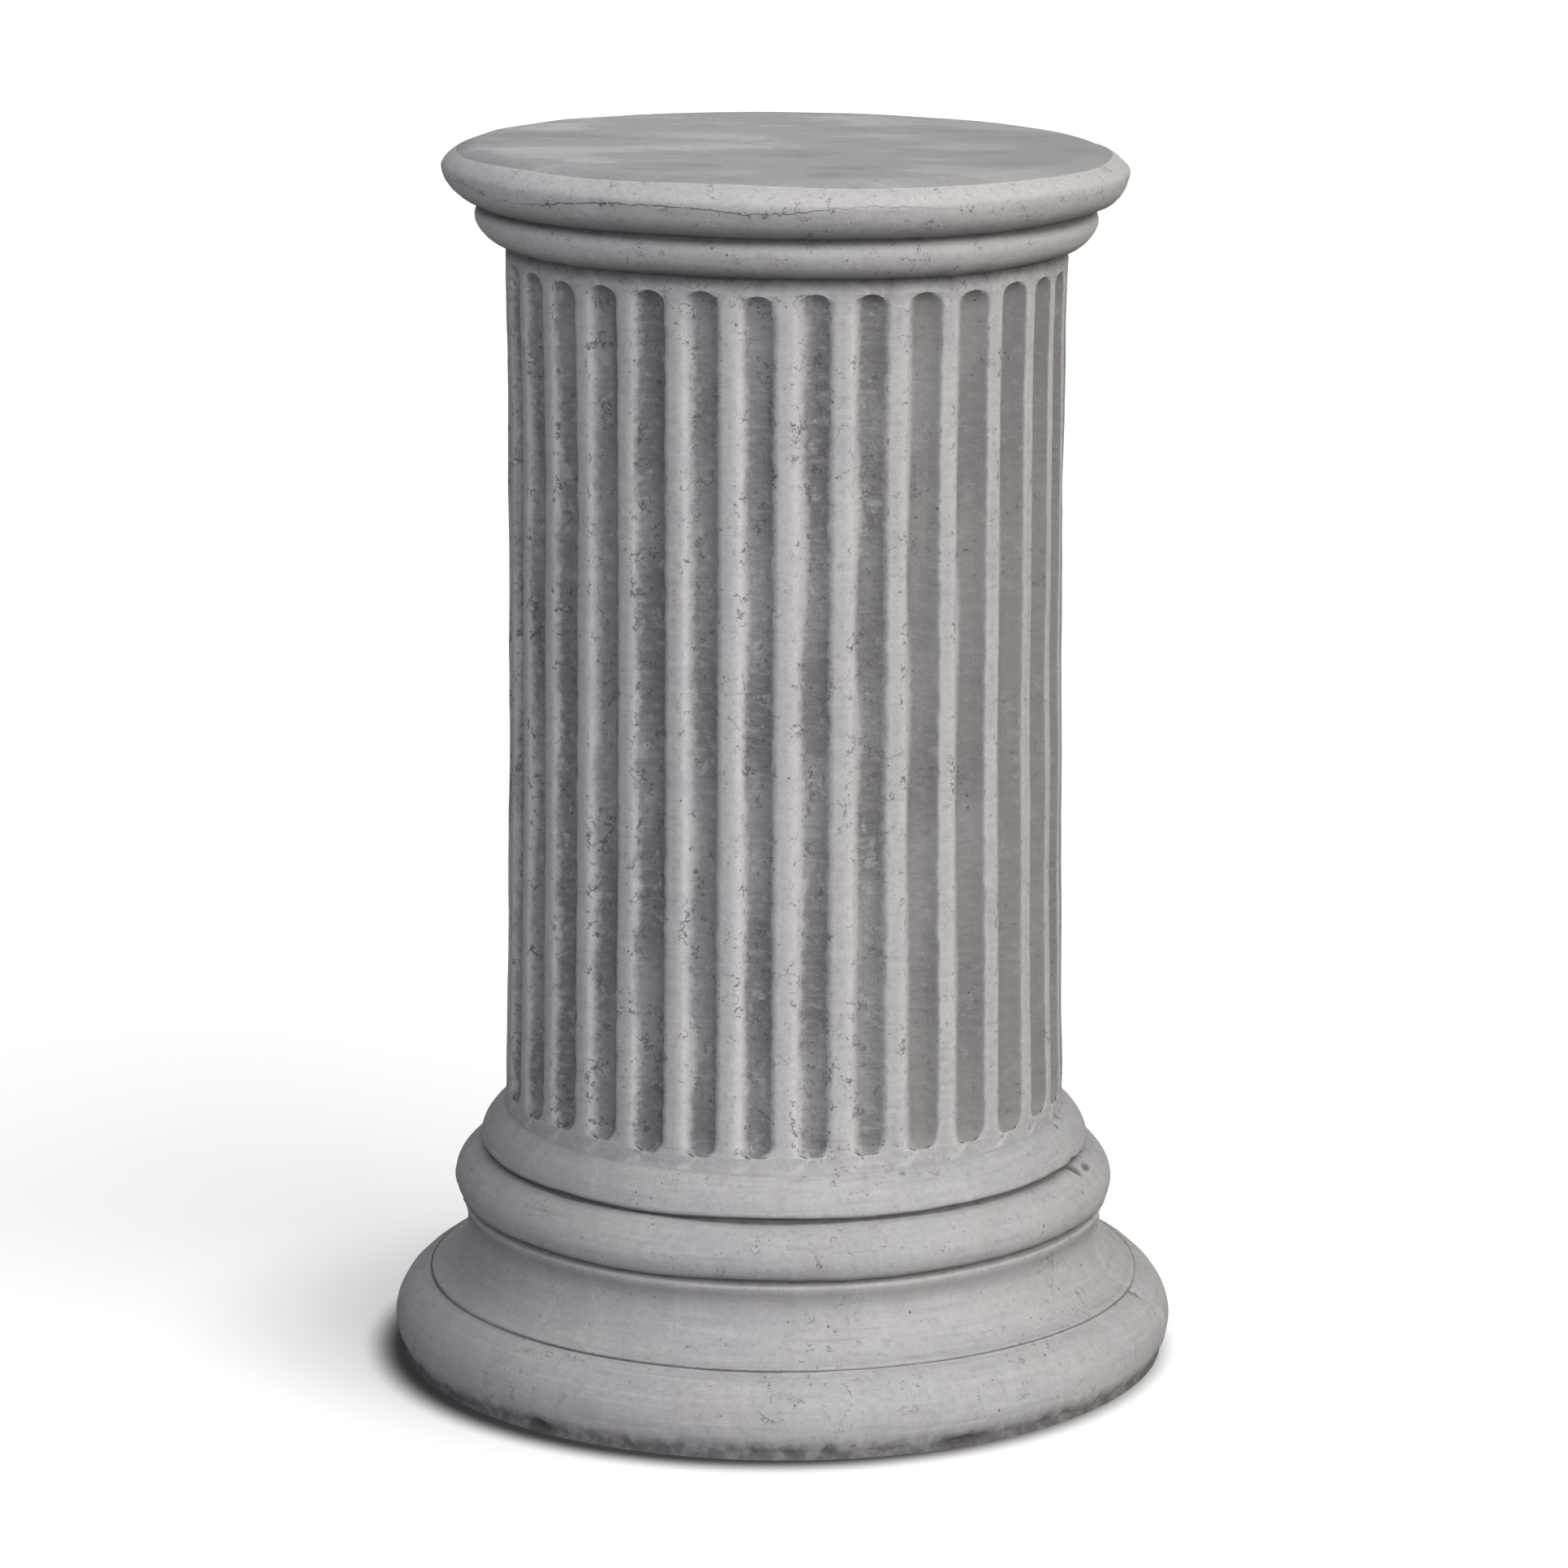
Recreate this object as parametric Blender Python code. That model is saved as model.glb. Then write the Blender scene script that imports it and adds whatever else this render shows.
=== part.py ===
"""Cast stone column pedestal: a fluted shaft between a moulded round base and a round cap.

It is one casting, turned about the Z axis, with upright round-ended flutes in its shaft.
Metres, +Z up, origin in the middle of the underside.
"""
import math

import bmesh
import bpy
from mathutils import Matrix, Vector

# The whole
PEDESTAL_HEIGHT = 0.611
SIDES = 64                      # flat facets round every turned surface
ARC_PIECES = 4                  # straight pieces in each round stretch of the outline

# Shaft
SHAFT_FOOT_RADIUS = 0.1409
SHAFT_HEAD_RADIUS = 0.1373
SHAFT_HOLLOW = 0.0016           # how far its middle stays inside the straight line from foot to head
SHAFT_PIECES = 2                # straight pieces up its hollow line

# Flutes
FLUTE_COUNT = 32
FLUTE_DEPTH = 0.0062            # at its mean, as the flute is straight and the shaft slightly hollow
LAND_WIDTH = 0.0106             # flat rib left between two flutes, at the foot
FLUTE_HEAD_GAP = 0.0070         # plain shaft above the round top of each flute
FLUTE_FOOT_GAP = 0.0077         # plain shaft below its round bottom
CUTTER_SIDES = 14
CUTTER_END_PIECES = 4

# Base, from the ground up: heights of the mouldings, and of the widest line in each
LOWER_ROUND_HEIGHT = 0.0402
LOWER_ROUND_WIDEST = 0.0230
INCISED_WIDTH = 0.0016          # fine line cut between lower round and hollow
INCISED_DEPTH = 0.0012
HOLLOW_HEIGHT = 0.0338
LIP_HEIGHT = 0.0044
UPPER_ROUND_HEIGHT = 0.0280
UPPER_ROUND_WIDEST = 0.0143
RING_HEIGHT = 0.0201
RING_WIDEST = 0.0045

# Base, from the shaft outwards: how far each moulding stands out past the one above it
RING_PROJECTION = 0.0125
UPPER_ROUND_PROJECTION = 0.0125
LIP_SETBACK = 0.0040            # neck of the hollow, inside the upper round
HOLLOW_PROJECTION = 0.0188      # from that neck to the hollow's foot
LOWER_ROUND_PROJECTION = 0.0157
FOOT_SETBACK = 0.0035           # foot of the lower round, inside its widest line

# Cap, from the shaft's head up
CAP_ROUND_HEIGHT = 0.0206
CAP_ROUND_WIDEST = 0.0118
SLAB_HEIGHT = 0.0288
SLAB_WIDEST = 0.0186
CAP_ROUND_PROJECTION = 0.0156
SLAB_PROJECTION = 0.0162
SLAB_SHOULDER = 0.0180          # from the slab's widest line in to the edge of its flat top

# Quirks, the narrow V grooves that part one moulding from the next
RING_QUIRK = 0.0032
LIP_QUIRK = 0.0048
SLAB_QUIRK = 0.0027

# Bulges: how far the middle of each round stretch stands off its chord
LOWER_ROUND_FOOT_BULGE = 0.0023
LOWER_ROUND_TOP_BULGE = 0.0028
HOLLOW_BULGE = 0.0084
LIP_BULGE = 0.0009
UPPER_ROUND_BULGE = 0.0025
RING_FOOT_BULGE = 0.0014
RING_TOP_BULGE = 0.0023
CAP_ROUND_BULGE = 0.0028
CAP_ROUND_TOP_BULGE = 0.0015
SLAB_FOOT_BULGE = 0.0050
SLAB_TOP_BULGE = 0.0022

# Radii that follow
RING_RADIUS = SHAFT_FOOT_RADIUS + RING_PROJECTION
UPPER_ROUND_RADIUS = RING_RADIUS + UPPER_ROUND_PROJECTION
NECK_RADIUS = UPPER_ROUND_RADIUS - LIP_SETBACK
HOLLOW_FOOT_RADIUS = NECK_RADIUS + HOLLOW_PROJECTION
LOWER_ROUND_RADIUS = HOLLOW_FOOT_RADIUS + LOWER_ROUND_PROJECTION
CAP_ROUND_RADIUS = SHAFT_HEAD_RADIUS + CAP_ROUND_PROJECTION
SLAB_RADIUS = CAP_ROUND_RADIUS + SLAB_PROJECTION

# Heights that follow
HOLLOW_TOP = LOWER_ROUND_HEIGHT + HOLLOW_HEIGHT
UPPER_ROUND_FOOT = HOLLOW_TOP + LIP_HEIGHT
RING_FOOT = UPPER_ROUND_FOOT + UPPER_ROUND_HEIGHT
SHAFT_FOOT = RING_FOOT + RING_HEIGHT
SLAB_FOOT = PEDESTAL_HEIGHT - SLAB_HEIGHT
SHAFT_HEAD = SLAB_FOOT - CAP_ROUND_HEIGHT


def arc(start, end, bulge, pieces=ARC_PIECES):
    """Points after start, up to end, on a circle whose middle stands off the chord by bulge, to its right."""
    start, end = Vector(start), Vector(end)
    chord = end - start
    half_chord = chord.length / 2
    along = chord.normalized()
    outward = Vector((along.y, -along.x))
    half_angle = 2 * math.atan(bulge / half_chord)
    radius = half_chord / math.sin(half_angle)
    points = []
    for step in range(1, pieces + 1):
        angle = half_angle * (2 * step / pieces - 1)
        run = half_chord + radius * math.sin(angle)
        rise = radius * (math.cos(angle) - math.cos(half_angle))
        points.append(start + along * run + outward * rise)
    return points


def base_outline():
    """Lower round, incised line, hollow, lip, upper round and ring, as radius and height from the ground up."""
    foot = (LOWER_ROUND_RADIUS - FOOT_SETBACK, 0)
    lower_widest = (LOWER_ROUND_RADIUS, LOWER_ROUND_WIDEST)
    line_low = (HOLLOW_FOOT_RADIUS, LOWER_ROUND_HEIGHT - INCISED_WIDTH / 2)
    line_deep = (HOLLOW_FOOT_RADIUS - INCISED_DEPTH, LOWER_ROUND_HEIGHT)
    line_high = (HOLLOW_FOOT_RADIUS - INCISED_WIDTH / 2, LOWER_ROUND_HEIGHT + INCISED_WIDTH / 2)
    neck = (NECK_RADIUS, HOLLOW_TOP)
    upper_foot = (UPPER_ROUND_RADIUS - LIP_QUIRK, UPPER_ROUND_FOOT)
    upper_widest = (UPPER_ROUND_RADIUS, UPPER_ROUND_FOOT + UPPER_ROUND_WIDEST)
    ring_foot = (RING_RADIUS - RING_QUIRK, RING_FOOT)
    ring_widest = (RING_RADIUS, RING_FOOT + RING_WIDEST)
    shaft_foot = (SHAFT_FOOT_RADIUS, SHAFT_FOOT)
    return [
        Vector(foot),
        *arc(foot, lower_widest, LOWER_ROUND_FOOT_BULGE),
        *arc(lower_widest, line_low, LOWER_ROUND_TOP_BULGE),
        Vector(line_deep),
        Vector(line_high),
        *arc(line_high, neck, -HOLLOW_BULGE),
        *arc(neck, upper_foot, LIP_BULGE, 2),
        *arc(upper_foot, upper_widest, UPPER_ROUND_BULGE),
        *arc(upper_widest, ring_foot, UPPER_ROUND_BULGE),
        *arc(ring_foot, ring_widest, RING_FOOT_BULGE, 2),
        *arc(ring_widest, shaft_foot, RING_TOP_BULGE),
    ]


def cap_outline():
    """Shaft, cap round and slab, as radius and height from above the shaft's foot to the edge of the flat top."""
    shaft_foot = (SHAFT_FOOT_RADIUS, SHAFT_FOOT)
    shaft_head = (SHAFT_HEAD_RADIUS, SHAFT_HEAD)
    round_widest = (CAP_ROUND_RADIUS, SHAFT_HEAD + CAP_ROUND_WIDEST)
    slab_foot = (CAP_ROUND_RADIUS - SLAB_QUIRK, SLAB_FOOT)
    slab_widest = (SLAB_RADIUS, SLAB_FOOT + SLAB_WIDEST)
    top_edge = (SLAB_RADIUS - SLAB_SHOULDER, PEDESTAL_HEIGHT)
    return [
        *arc(shaft_foot, shaft_head, -SHAFT_HOLLOW, SHAFT_PIECES),
        *arc(shaft_head, round_widest, CAP_ROUND_BULGE),
        *arc(round_widest, slab_foot, CAP_ROUND_TOP_BULGE, 2),
        *arc(slab_foot, slab_widest, SLAB_FOOT_BULGE, 3),
        *arc(slab_widest, top_edge, SLAB_TOP_BULGE),
    ]


def capsule_outline(radius, low, high):
    """Half outline of an upright capsule, pole to pole, with its ball centres at the heights low and high."""
    quarter = [math.pi / 2 * step / CUTTER_END_PIECES for step in range(CUTTER_END_PIECES + 1)]
    bottom = [Vector((radius * math.sin(angle), low - radius * math.cos(angle))) for angle in quarter]
    top = [Vector((radius * math.cos(angle), high + radius * math.sin(angle))) for angle in quarter]
    return bottom + top


def turn(outline, sides):
    """Closed surface made by spinning an outline of radius and height once round the Z axis."""
    shape = bmesh.new()
    corners = [shape.verts.new((radius, 0, height)) for radius, height in outline]
    lines = [shape.edges.new(pair) for pair in zip(corners, corners[1:])]
    bmesh.ops.spin(shape, geom=corners + lines, cent=(0, 0, 0), axis=(0, 0, 1),
                   angle=math.tau, steps=sides, use_merge=True)
    bmesh.ops.remove_doubles(shape, verts=shape.verts, dist=1e-6)
    bmesh.ops.holes_fill(shape, edges=[edge for edge in shape.edges if edge.is_boundary], sides=sides)
    bmesh.ops.recalc_face_normals(shape, faces=shape.faces)
    return shape


def add_object(name, shape, material=None):
    """New object in the scene from a finished bmesh, shaded smooth over its shallow edges."""
    mesh = bpy.data.meshes.new(name)
    shape.to_mesh(mesh)
    shape.free()
    mesh.shade_smooth()
    mesh.set_sharp_from_angle(angle=math.radians(35))
    if material:
        mesh.materials.append(material)
    added = bpy.data.objects.new(name, mesh)
    bpy.context.collection.objects.link(added)
    return added


def cast_stone():
    """Dry grey cast stone, matt all over."""
    material = bpy.data.materials.new("cast_stone")
    material.use_nodes = True
    shader = material.node_tree.nodes["Principled BSDF"]
    shader.inputs["Base Color"].default_value = (0.42, 0.41, 0.405, 1)
    shader.inputs["Roughness"].default_value = 0.9
    shader.inputs["Metallic"].default_value = 0
    return material


def flute_cutters():
    """All the flutes as upright capsules, each leaning with the shaft's taper, sunk into it to the flute's depth."""
    pitch = math.tau / FLUTE_COUNT
    width = SHAFT_FOOT_RADIUS * pitch - LAND_WIDTH
    radius = (width ** 2 / 4 + FLUTE_DEPTH ** 2) / (2 * FLUTE_DEPTH)
    low = SHAFT_FOOT + FLUTE_FOOT_GAP + width / 2
    high = SHAFT_HEAD - FLUTE_HEAD_GAP - width / 2
    shape = turn(capsule_outline(radius, low - SHAFT_FOOT, high - SHAFT_FOOT), CUTTER_SIDES)
    lean = Matrix.Rotation(math.atan2(SHAFT_FOOT_RADIUS - SHAFT_HEAD_RADIUS, SHAFT_HEAD - SHAFT_FOOT), 4, "X")
    sunk = FLUTE_DEPTH + SHAFT_HOLLOW / 2
    centre = Vector((0, sunk - radius - SHAFT_FOOT_RADIUS, SHAFT_FOOT))
    between_lands = Matrix.Rotation(pitch / 2, 4, "Z")
    half_facet = Matrix.Rotation(math.pi / CUTTER_SIDES, 4, "Z")
    shape.transform(between_lands @ Matrix.Translation(centre) @ lean.inverted() @ half_facet)
    bmesh.ops.spin(shape, geom=shape.verts[:] + shape.edges[:] + shape.faces[:], cent=(0, 0, 0), axis=(0, 0, 1),
                   angle=math.tau - pitch, steps=FLUTE_COUNT - 1, use_duplicate=True)
    cutters = add_object("flute_cutters", shape)
    cutters.hide_render = True
    cutters.display_type = "WIRE"
    return cutters


def pedestal():
    """The casting: the turned body with its flutes cut out of the shaft."""
    body = add_object("pedestal", turn(base_outline() + cap_outline(), SIDES), cast_stone())
    flutes = body.modifiers.new("flutes", "BOOLEAN")
    flutes.operation = "DIFFERENCE"
    flutes.solver = "EXACT"
    flutes.object = flute_cutters()
    return body


for leftover in list(bpy.data.objects):
    bpy.data.objects.remove(leftover)
pedestal()
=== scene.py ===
# Cast stone column pedestal: the finished casting on a pale studio floor.
# The casting is one closed grid: columns go round the axis, rows go up the outline.
# Azimuths are in degrees, 0 towards the viewer (-Y) and growing towards +X. Lengths are in metres.
import math
from types import SimpleNamespace

import bpy
import numpy as np
from mathutils import Matrix, Vector


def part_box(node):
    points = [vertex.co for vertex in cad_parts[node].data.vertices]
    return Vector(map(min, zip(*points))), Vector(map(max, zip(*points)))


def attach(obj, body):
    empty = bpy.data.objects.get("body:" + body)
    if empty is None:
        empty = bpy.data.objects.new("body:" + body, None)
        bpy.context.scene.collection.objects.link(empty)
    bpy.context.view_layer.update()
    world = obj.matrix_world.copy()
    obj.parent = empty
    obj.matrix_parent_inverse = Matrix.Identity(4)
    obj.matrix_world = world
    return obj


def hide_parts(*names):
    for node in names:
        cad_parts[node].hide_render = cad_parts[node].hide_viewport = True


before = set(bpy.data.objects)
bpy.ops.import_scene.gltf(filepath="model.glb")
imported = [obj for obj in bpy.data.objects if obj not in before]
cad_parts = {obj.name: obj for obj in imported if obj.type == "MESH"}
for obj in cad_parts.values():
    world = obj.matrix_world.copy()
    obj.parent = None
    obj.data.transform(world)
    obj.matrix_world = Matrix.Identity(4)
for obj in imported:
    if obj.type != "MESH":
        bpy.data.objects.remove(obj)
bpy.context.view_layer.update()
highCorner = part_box("pedestal")[1]
pedestalHeight = highCorner.z
widestRadius = highCorner.x
print("frame loaded, pedestal", round(pedestalHeight, 3), "m tall")

tiny = 1e-6                                  # two heights closer than this are one
clearance = 1e-5                             # keeps the casting inside the solid's box


# the outline of the casting, moulding by moulding
outline = {
    "shaftFootRadius": 0.1409, "shaftHeadRadius": 0.1373, "shaftHollow": 0.0016,
    "lowerRoundHeight": 0.0402, "lowerRoundWidest": 0.0230,
    "incisedWidth": 0.0016, "incisedDepth": 0.0012,
    "hollowHeight": 0.0338, "lipHeight": 0.0044,
    "upperRoundHeight": 0.0280, "upperRoundWidest": 0.0143,
    "ringHeight": 0.0201, "ringWidest": 0.0045,
    "ringProjection": 0.0125, "upperRoundProjection": 0.0125, "lipSetback": 0.0040,
    "hollowProjection": 0.0188, "lowerRoundProjection": 0.0157, "footSetback": 0.0035,
    "capRoundHeight": 0.0206, "capRoundWidest": 0.0118, "capRoundProjection": 0.0156,
    "slabHeight": 0.0288, "slabWidest": 0.0186, "slabProjection": 0.0162, "slabShoulder": 0.0180,
    "ringQuirk": 0.0032, "lipQuirk": 0.0048, "slabQuirk": 0.0027,
    # how far the middle of each round stretch stands off its chord
    "lowerFootBulge": 0.0023, "lowerTopBulge": 0.0028, "hollowBulge": 0.0084, "lipBulge": 0.0009,
    "upperBulge": 0.0025, "ringFootBulge": 0.0014, "ringTopBulge": 0.0023,
    "capFootBulge": 0.0028, "capTopBulge": 0.0015, "slabFootBulge": 0.0050, "slabTopBulge": 0.0022,
    "crowd": 0.55,                           # how much closer the rows stand at both ends of a round stretch
    "slabTopRows": 11, "noseWear": 3,        # rows on the slab's shoulder; how often its widest line is worn
    # where the rows of the flat underside and top stand, as shares of the radius
    "undersideShares": (0.04, 0.5, 0.93), "topShares": (0.97, 0.9, 0.75, 0.6, 0.45, 0.3, 0.15, 0.04),
}

# the fluted shaft
fluting = {
    "count": 32, "depth": 0.0062, "landWidth": 0.0106, "headGap": 0.0070, "footGap": 0.0077,
    "runRows": 104, "endRows": 9, "gapShares": (0.15, 0.4, 0.65, 0.87), "fineRows": 200,
    "squareness": 2.35,                      # 2 would end each flute in a half circle
    "leastWidth": 0.12,                      # share of the half width to which columns close in at an end
    "arris": 0.0022, "arrisDrop": 0.0007,    # the worn round on each edge of a land: its width and its drop
    "arrisFrom": 0.10, "arrisTo": 0.60,      # it fades out where a flute narrows to these shares of its width
    "swell": 0.0008, "headFlare": 0.0006,    # the shaft stands this much fuller, and more just under its head
    "footFade": 0.02, "headFade": 0.004, "flareFrom": 0.06, "flareTo": 0.01,
    "bow": 0.0006,                           # and this far to the right
    # degrees by which the flutes are out of step, where that is most and how far round it reaches
    "pushed": 2.1, "pushedAt": 60.0, "pushedWidth": 20.0,
    "endWander": 0.0009, "endFade": 0.03,    # how far the flutes' ends stand off one level
    "leftRagged": 0.00007, "rightRagged": 0.00022,    # how far the flutes' left and right edges wander
    "capBlend": 0.012,                       # how far up the slab the columns are evenly spaced again
    "seed": 11,
}

# the 12 columns of a flute: the middle of a land, an arris, the trough from edge to edge, an arris. Then
# which of them drop with the worn arris, and how pale each is: wear, and a painted highlight that is
# strongest on the lit left arris
columnsPerFlute = 12
troughColumns = np.concatenate([[-1], np.sin(np.radians(np.linspace(-67.5, 67.5, 7))), [1]])
arrisColumns = {1: -1, 11: 1}
droppedColumns = {1: 0.15, 2: 1, 10: 1, 11: 0.15}
paleEdgeColumns = {1: 0.5, 2: 1.0, 3: 0.9, 4: 0.3, 10: 0.35, 11: 0.15}
columns = fluting["count"] * columnsPerFlute
halfPitch = math.pi / fluting["count"]


# a circular arc whose middle stands off its chord by bulge, to the right of its run
def arcRun(start, end, bulge, rows, crowd=None):
    crowd = outline["crowd"] if crowd is None else crowd
    share = np.arange(1, rows + 1) / rows
    share = share - crowd * np.sin(2 * np.pi * share) / (2 * np.pi)
    start, end = np.array(start, float), np.array(end, float)
    halfChord = np.hypot(*(end - start)) / 2
    along = (end - start) / (2 * halfChord)
    outward = np.array([along[1], -along[0]])
    halfAngle = 2 * math.atan(bulge / halfChord)
    radius = halfChord / math.sin(halfAngle)
    angle = halfAngle * (2 * share - 1)
    rise = radius * (np.cos(angle) - math.cos(halfAngle))
    return start + np.outer(halfChord + radius * np.sin(angle), along) + np.outer(rise, outward)


# heights of the corners between the mouldings, by adding moulding to moulding
def cornerHeights():
    o = outline
    marks = {"lowerTop": o["lowerRoundHeight"]}
    marks["hollowTop"] = marks["lowerTop"] + o["hollowHeight"]
    marks["upperFoot"] = marks["hollowTop"] + o["lipHeight"]
    marks["ringFoot"] = marks["upperFoot"] + o["upperRoundHeight"]
    marks["shaftFoot"] = marks["ringFoot"] + o["ringHeight"]
    marks["slabFoot"] = pedestalHeight - o["slabHeight"]
    marks["shaftHead"] = marks["slabFoot"] - o["capRoundHeight"]
    return marks


# radius and height of every row, from the middle of the underside up to the middle of the top
def outlineRows(marks):
    o = outline
    ring = o["shaftFootRadius"] + o["ringProjection"]
    upper = ring + o["upperRoundProjection"]
    neck = upper - o["lipSetback"]
    hollowFoot = neck + o["hollowProjection"]
    lower = hollowFoot + o["lowerRoundProjection"]
    capRound = o["shaftHeadRadius"] + o["capRoundProjection"]
    slabRadius = capRound + o["slabProjection"]

    ground = (lower - o["footSetback"], 0)
    lowerWidest = (lower, o["lowerRoundWidest"])
    lineLow = (hollowFoot, marks["lowerTop"] - o["incisedWidth"] / 2)
    lineDeep = (hollowFoot - o["incisedDepth"], marks["lowerTop"])
    lineHigh = (hollowFoot - o["incisedWidth"] / 2, marks["lowerTop"] + o["incisedWidth"] / 2)
    lipFoot = (neck, marks["hollowTop"])
    upperStart = (upper - o["lipQuirk"], marks["upperFoot"])
    upperWidest = (upper, marks["upperFoot"] + o["upperRoundWidest"])
    ringStart = (ring - o["ringQuirk"], marks["ringFoot"])
    ringWidest = (ring, marks["ringFoot"] + o["ringWidest"])
    shaftStart = (o["shaftFootRadius"], marks["shaftFoot"])
    shaftEnd = (o["shaftHeadRadius"], marks["shaftHead"])
    capWidest = (capRound, marks["shaftHead"] + o["capRoundWidest"])
    slabStart = (capRound - o["slabQuirk"], marks["slabFoot"])
    slabWidest = (slabRadius, marks["slabFoot"] + o["slabWidest"])
    topEdge = (slabRadius - o["slabShoulder"], pedestalHeight)

    base = np.concatenate([
        [ground],
        arcRun(ground, lowerWidest, o["lowerFootBulge"], rows=9, crowd=0.2),
        arcRun(lowerWidest, lineLow, o["lowerTopBulge"], rows=10, crowd=0.2),
        [lineDeep],
        [lineHigh],
        arcRun(lineHigh, lipFoot, -o["hollowBulge"], rows=14, crowd=0.3),
        arcRun(lipFoot, upperStart, o["lipBulge"], rows=4, crowd=0.2),
        arcRun(upperStart, upperWidest, o["upperBulge"], rows=8),
        arcRun(upperWidest, ringStart, o["upperBulge"], rows=9),
        arcRun(ringStart, ringWidest, o["ringFootBulge"], rows=5),
        arcRun(ringWidest, shaftStart, o["ringTopBulge"], rows=11),
    ])
    finely = arcRun(shaftStart, shaftEnd, -o["shaftHollow"], rows=fluting["fineRows"], crowd=0)
    levels = shaftLevels(marks)
    shaft = np.stack([np.interp(levels, finely[:, 1], finely[:, 0]), levels], axis=1)
    cap = np.concatenate([
        [shaftEnd],
        arcRun(shaftEnd, capWidest, o["capFootBulge"], rows=9),
        arcRun(capWidest, slabStart, o["capTopBulge"], rows=5),
        arcRun(slabStart, slabWidest, o["slabFootBulge"], rows=11),
        arcRun(slabWidest, topEdge, o["slabTopBulge"], rows=o["slabTopRows"], crowd=0.2),
    ])
    nose = len(cap) - 1 - o["slabTopRows"]   # the row on the slab's widest line, which is worn round
    worn = slice(nose - 3, nose + 4)
    for _ in range(o["noseWear"]):
        cap[worn] += (cap[nose - 4:nose + 3] + cap[nose - 2:nose + 5] - 2 * cap[worn]) / 4
    underside = [(share * ground[0], 0) for share in o["undersideShares"]]
    topSide = [(share * topEdge[0], pedestalHeight) for share in o["topShares"]]
    return np.concatenate([underside, base, shaft, cap, topSide])


def fluteHalfWidth():
    return (outline["shaftFootRadius"] * 2 * halfPitch - fluting["landWidth"]) / 2


# the levels between which a flute has its full width: half a width in from its foot and its head
def fluteRun(marks):
    half = fluteHalfWidth()
    return marks["shaftFoot"] + fluting["footGap"] + half, marks["shaftHead"] - fluting["headGap"] - half


# heights of the shaft's rows: close together in the flutes' round ends, evenly spaced between them
def shaftLevels(marks):
    half = fluteHalfWidth()
    runFoot, runHead = fluteRun(marks)
    turn = np.linspace(0, np.pi / 2, fluting["endRows"])
    gapShares = np.array(fluting["gapShares"])
    return np.concatenate([
        marks["shaftFoot"] + fluting["footGap"] * gapShares,
        runFoot - half * np.cos(turn[:-1]),
        np.linspace(runFoot, runHead, fluting["runRows"]),
        runHead + half * np.sin(turn[1:]),
        marks["shaftHead"] - fluting["headGap"] * gapShares[::-1],
    ])


# unevenness of a hand-finished casting: how far it moves the skin, and how long its waves are
uneven = {
    "broad": 0.00032, "broadLength": 0.11, "fine": 0.00010, "fineLength": 0.022,
    "onShaft": 0.55, "inset": 0.00045,       # the shaft is smoother; all of it lies inside the drawn line
    "flat": 0.00008, "flatLength": 0.05, "flatInset": 0.00025, "flatFrom": 0.98,
    "meanRadius": 0.16, "count": 16, "shortest": 0.7, "longest": 1.5,
}


# unevenness: a sum of sine waves about size long, whole round the axis, with seeded headings and phases
def unevenness(azimuth, height, size, seed):
    pick = np.random.default_rng(seed)
    count = uneven["count"]
    total = np.zeros(np.broadcast(azimuth, height).shape)
    lowest, highest = (0, uneven["shortest"], 0), (np.pi, uneven["longest"], 2 * np.pi)
    for heading, length, phase in pick.uniform(lowest, highest, (count, 3)):
        wave = 2 * np.pi / (length * size)
        around = np.round(np.cos(heading) * wave * uneven["meanRadius"])
        total += np.sin(around * azimuth + np.sin(heading) * wave * height + phase)
    return total / math.sqrt(count / 2)


# ragged: for each flute edge its own sum of sine waves up the shaft
def ragged(height, seed, shortest=0.007, longest=0.030, count=9):
    pick = np.random.default_rng(seed)
    length = np.geomspace(shortest, longest, count)
    phase = pick.uniform(0, 2 * np.pi, (fluting["count"], count))
    strength = pick.uniform(0.5, 1.4, (fluting["count"], 1))
    waves = np.sin(2 * np.pi * height[:, None, None] / length + phase) * np.sqrt(length / longest)
    return strength[:, 0] * waves.sum(axis=2) / math.sqrt(count / 3)


# grows from 0 at low to 1 at high, as 3 s^2 - 2 s^3 of the share s of the way
def smoothStep(value, low, high):
    share = np.clip((value - low) / (high - low), 0, 1)
    return share * share * (3 - 2 * share)


# a bell: 1 at the middle, exp(-(gap / width)^2) away from it
def bell(gap, width):
    return np.exp(-(gap / width) ** 2)


# turn from centre, in radians between -pi and pi
def signedTurn(azimuth, centre):
    return (azimuth - math.radians(centre) + np.pi) % (2 * np.pi) - np.pi


# where the two halves of the mould met, and what they left
seams = {
    "azimuths": (78.0, -86.0), "ridge": 0.0009, "ridgeWidth": 0.0016, "top": 0.118, "topFade": 0.012,
    "wander": 0.0012, "wanderLength": 0.03, "rough": 0.45, "roughLength": 0.012,
    "onCap": 0.3, "capFade": 0.008,
    # columns stand closer within this many degrees
    "crowdWidth": 7.0, "crowdShare": 1.6, "fineSteps": 4001,
    # the base mouldings dip towards the right seam, from one azimuth and between two heights
    "sag": 0.0016, "sagFrom": 28.0, "sagBeyond": 6.0, "sagStart": (0.022, 0.036), "sagEnd": (0.080, 0.104),
}


# azimuth of each column away from the shaft: even, but closer together near the seams
def evenColumns():
    finely = np.linspace(0, 2 * np.pi, seams["fineSteps"])
    density = np.ones_like(finely)
    for centre in seams["azimuths"]:
        density += seams["crowdShare"] * bell(signedTurn(finely, centre), math.radians(seams["crowdWidth"]))
    total = np.concatenate([[0], np.cumsum((density[1:] + density[:-1]) / 2)])
    return np.interp(np.arange(columns) / columns, total / total[-1], finely)


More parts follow.
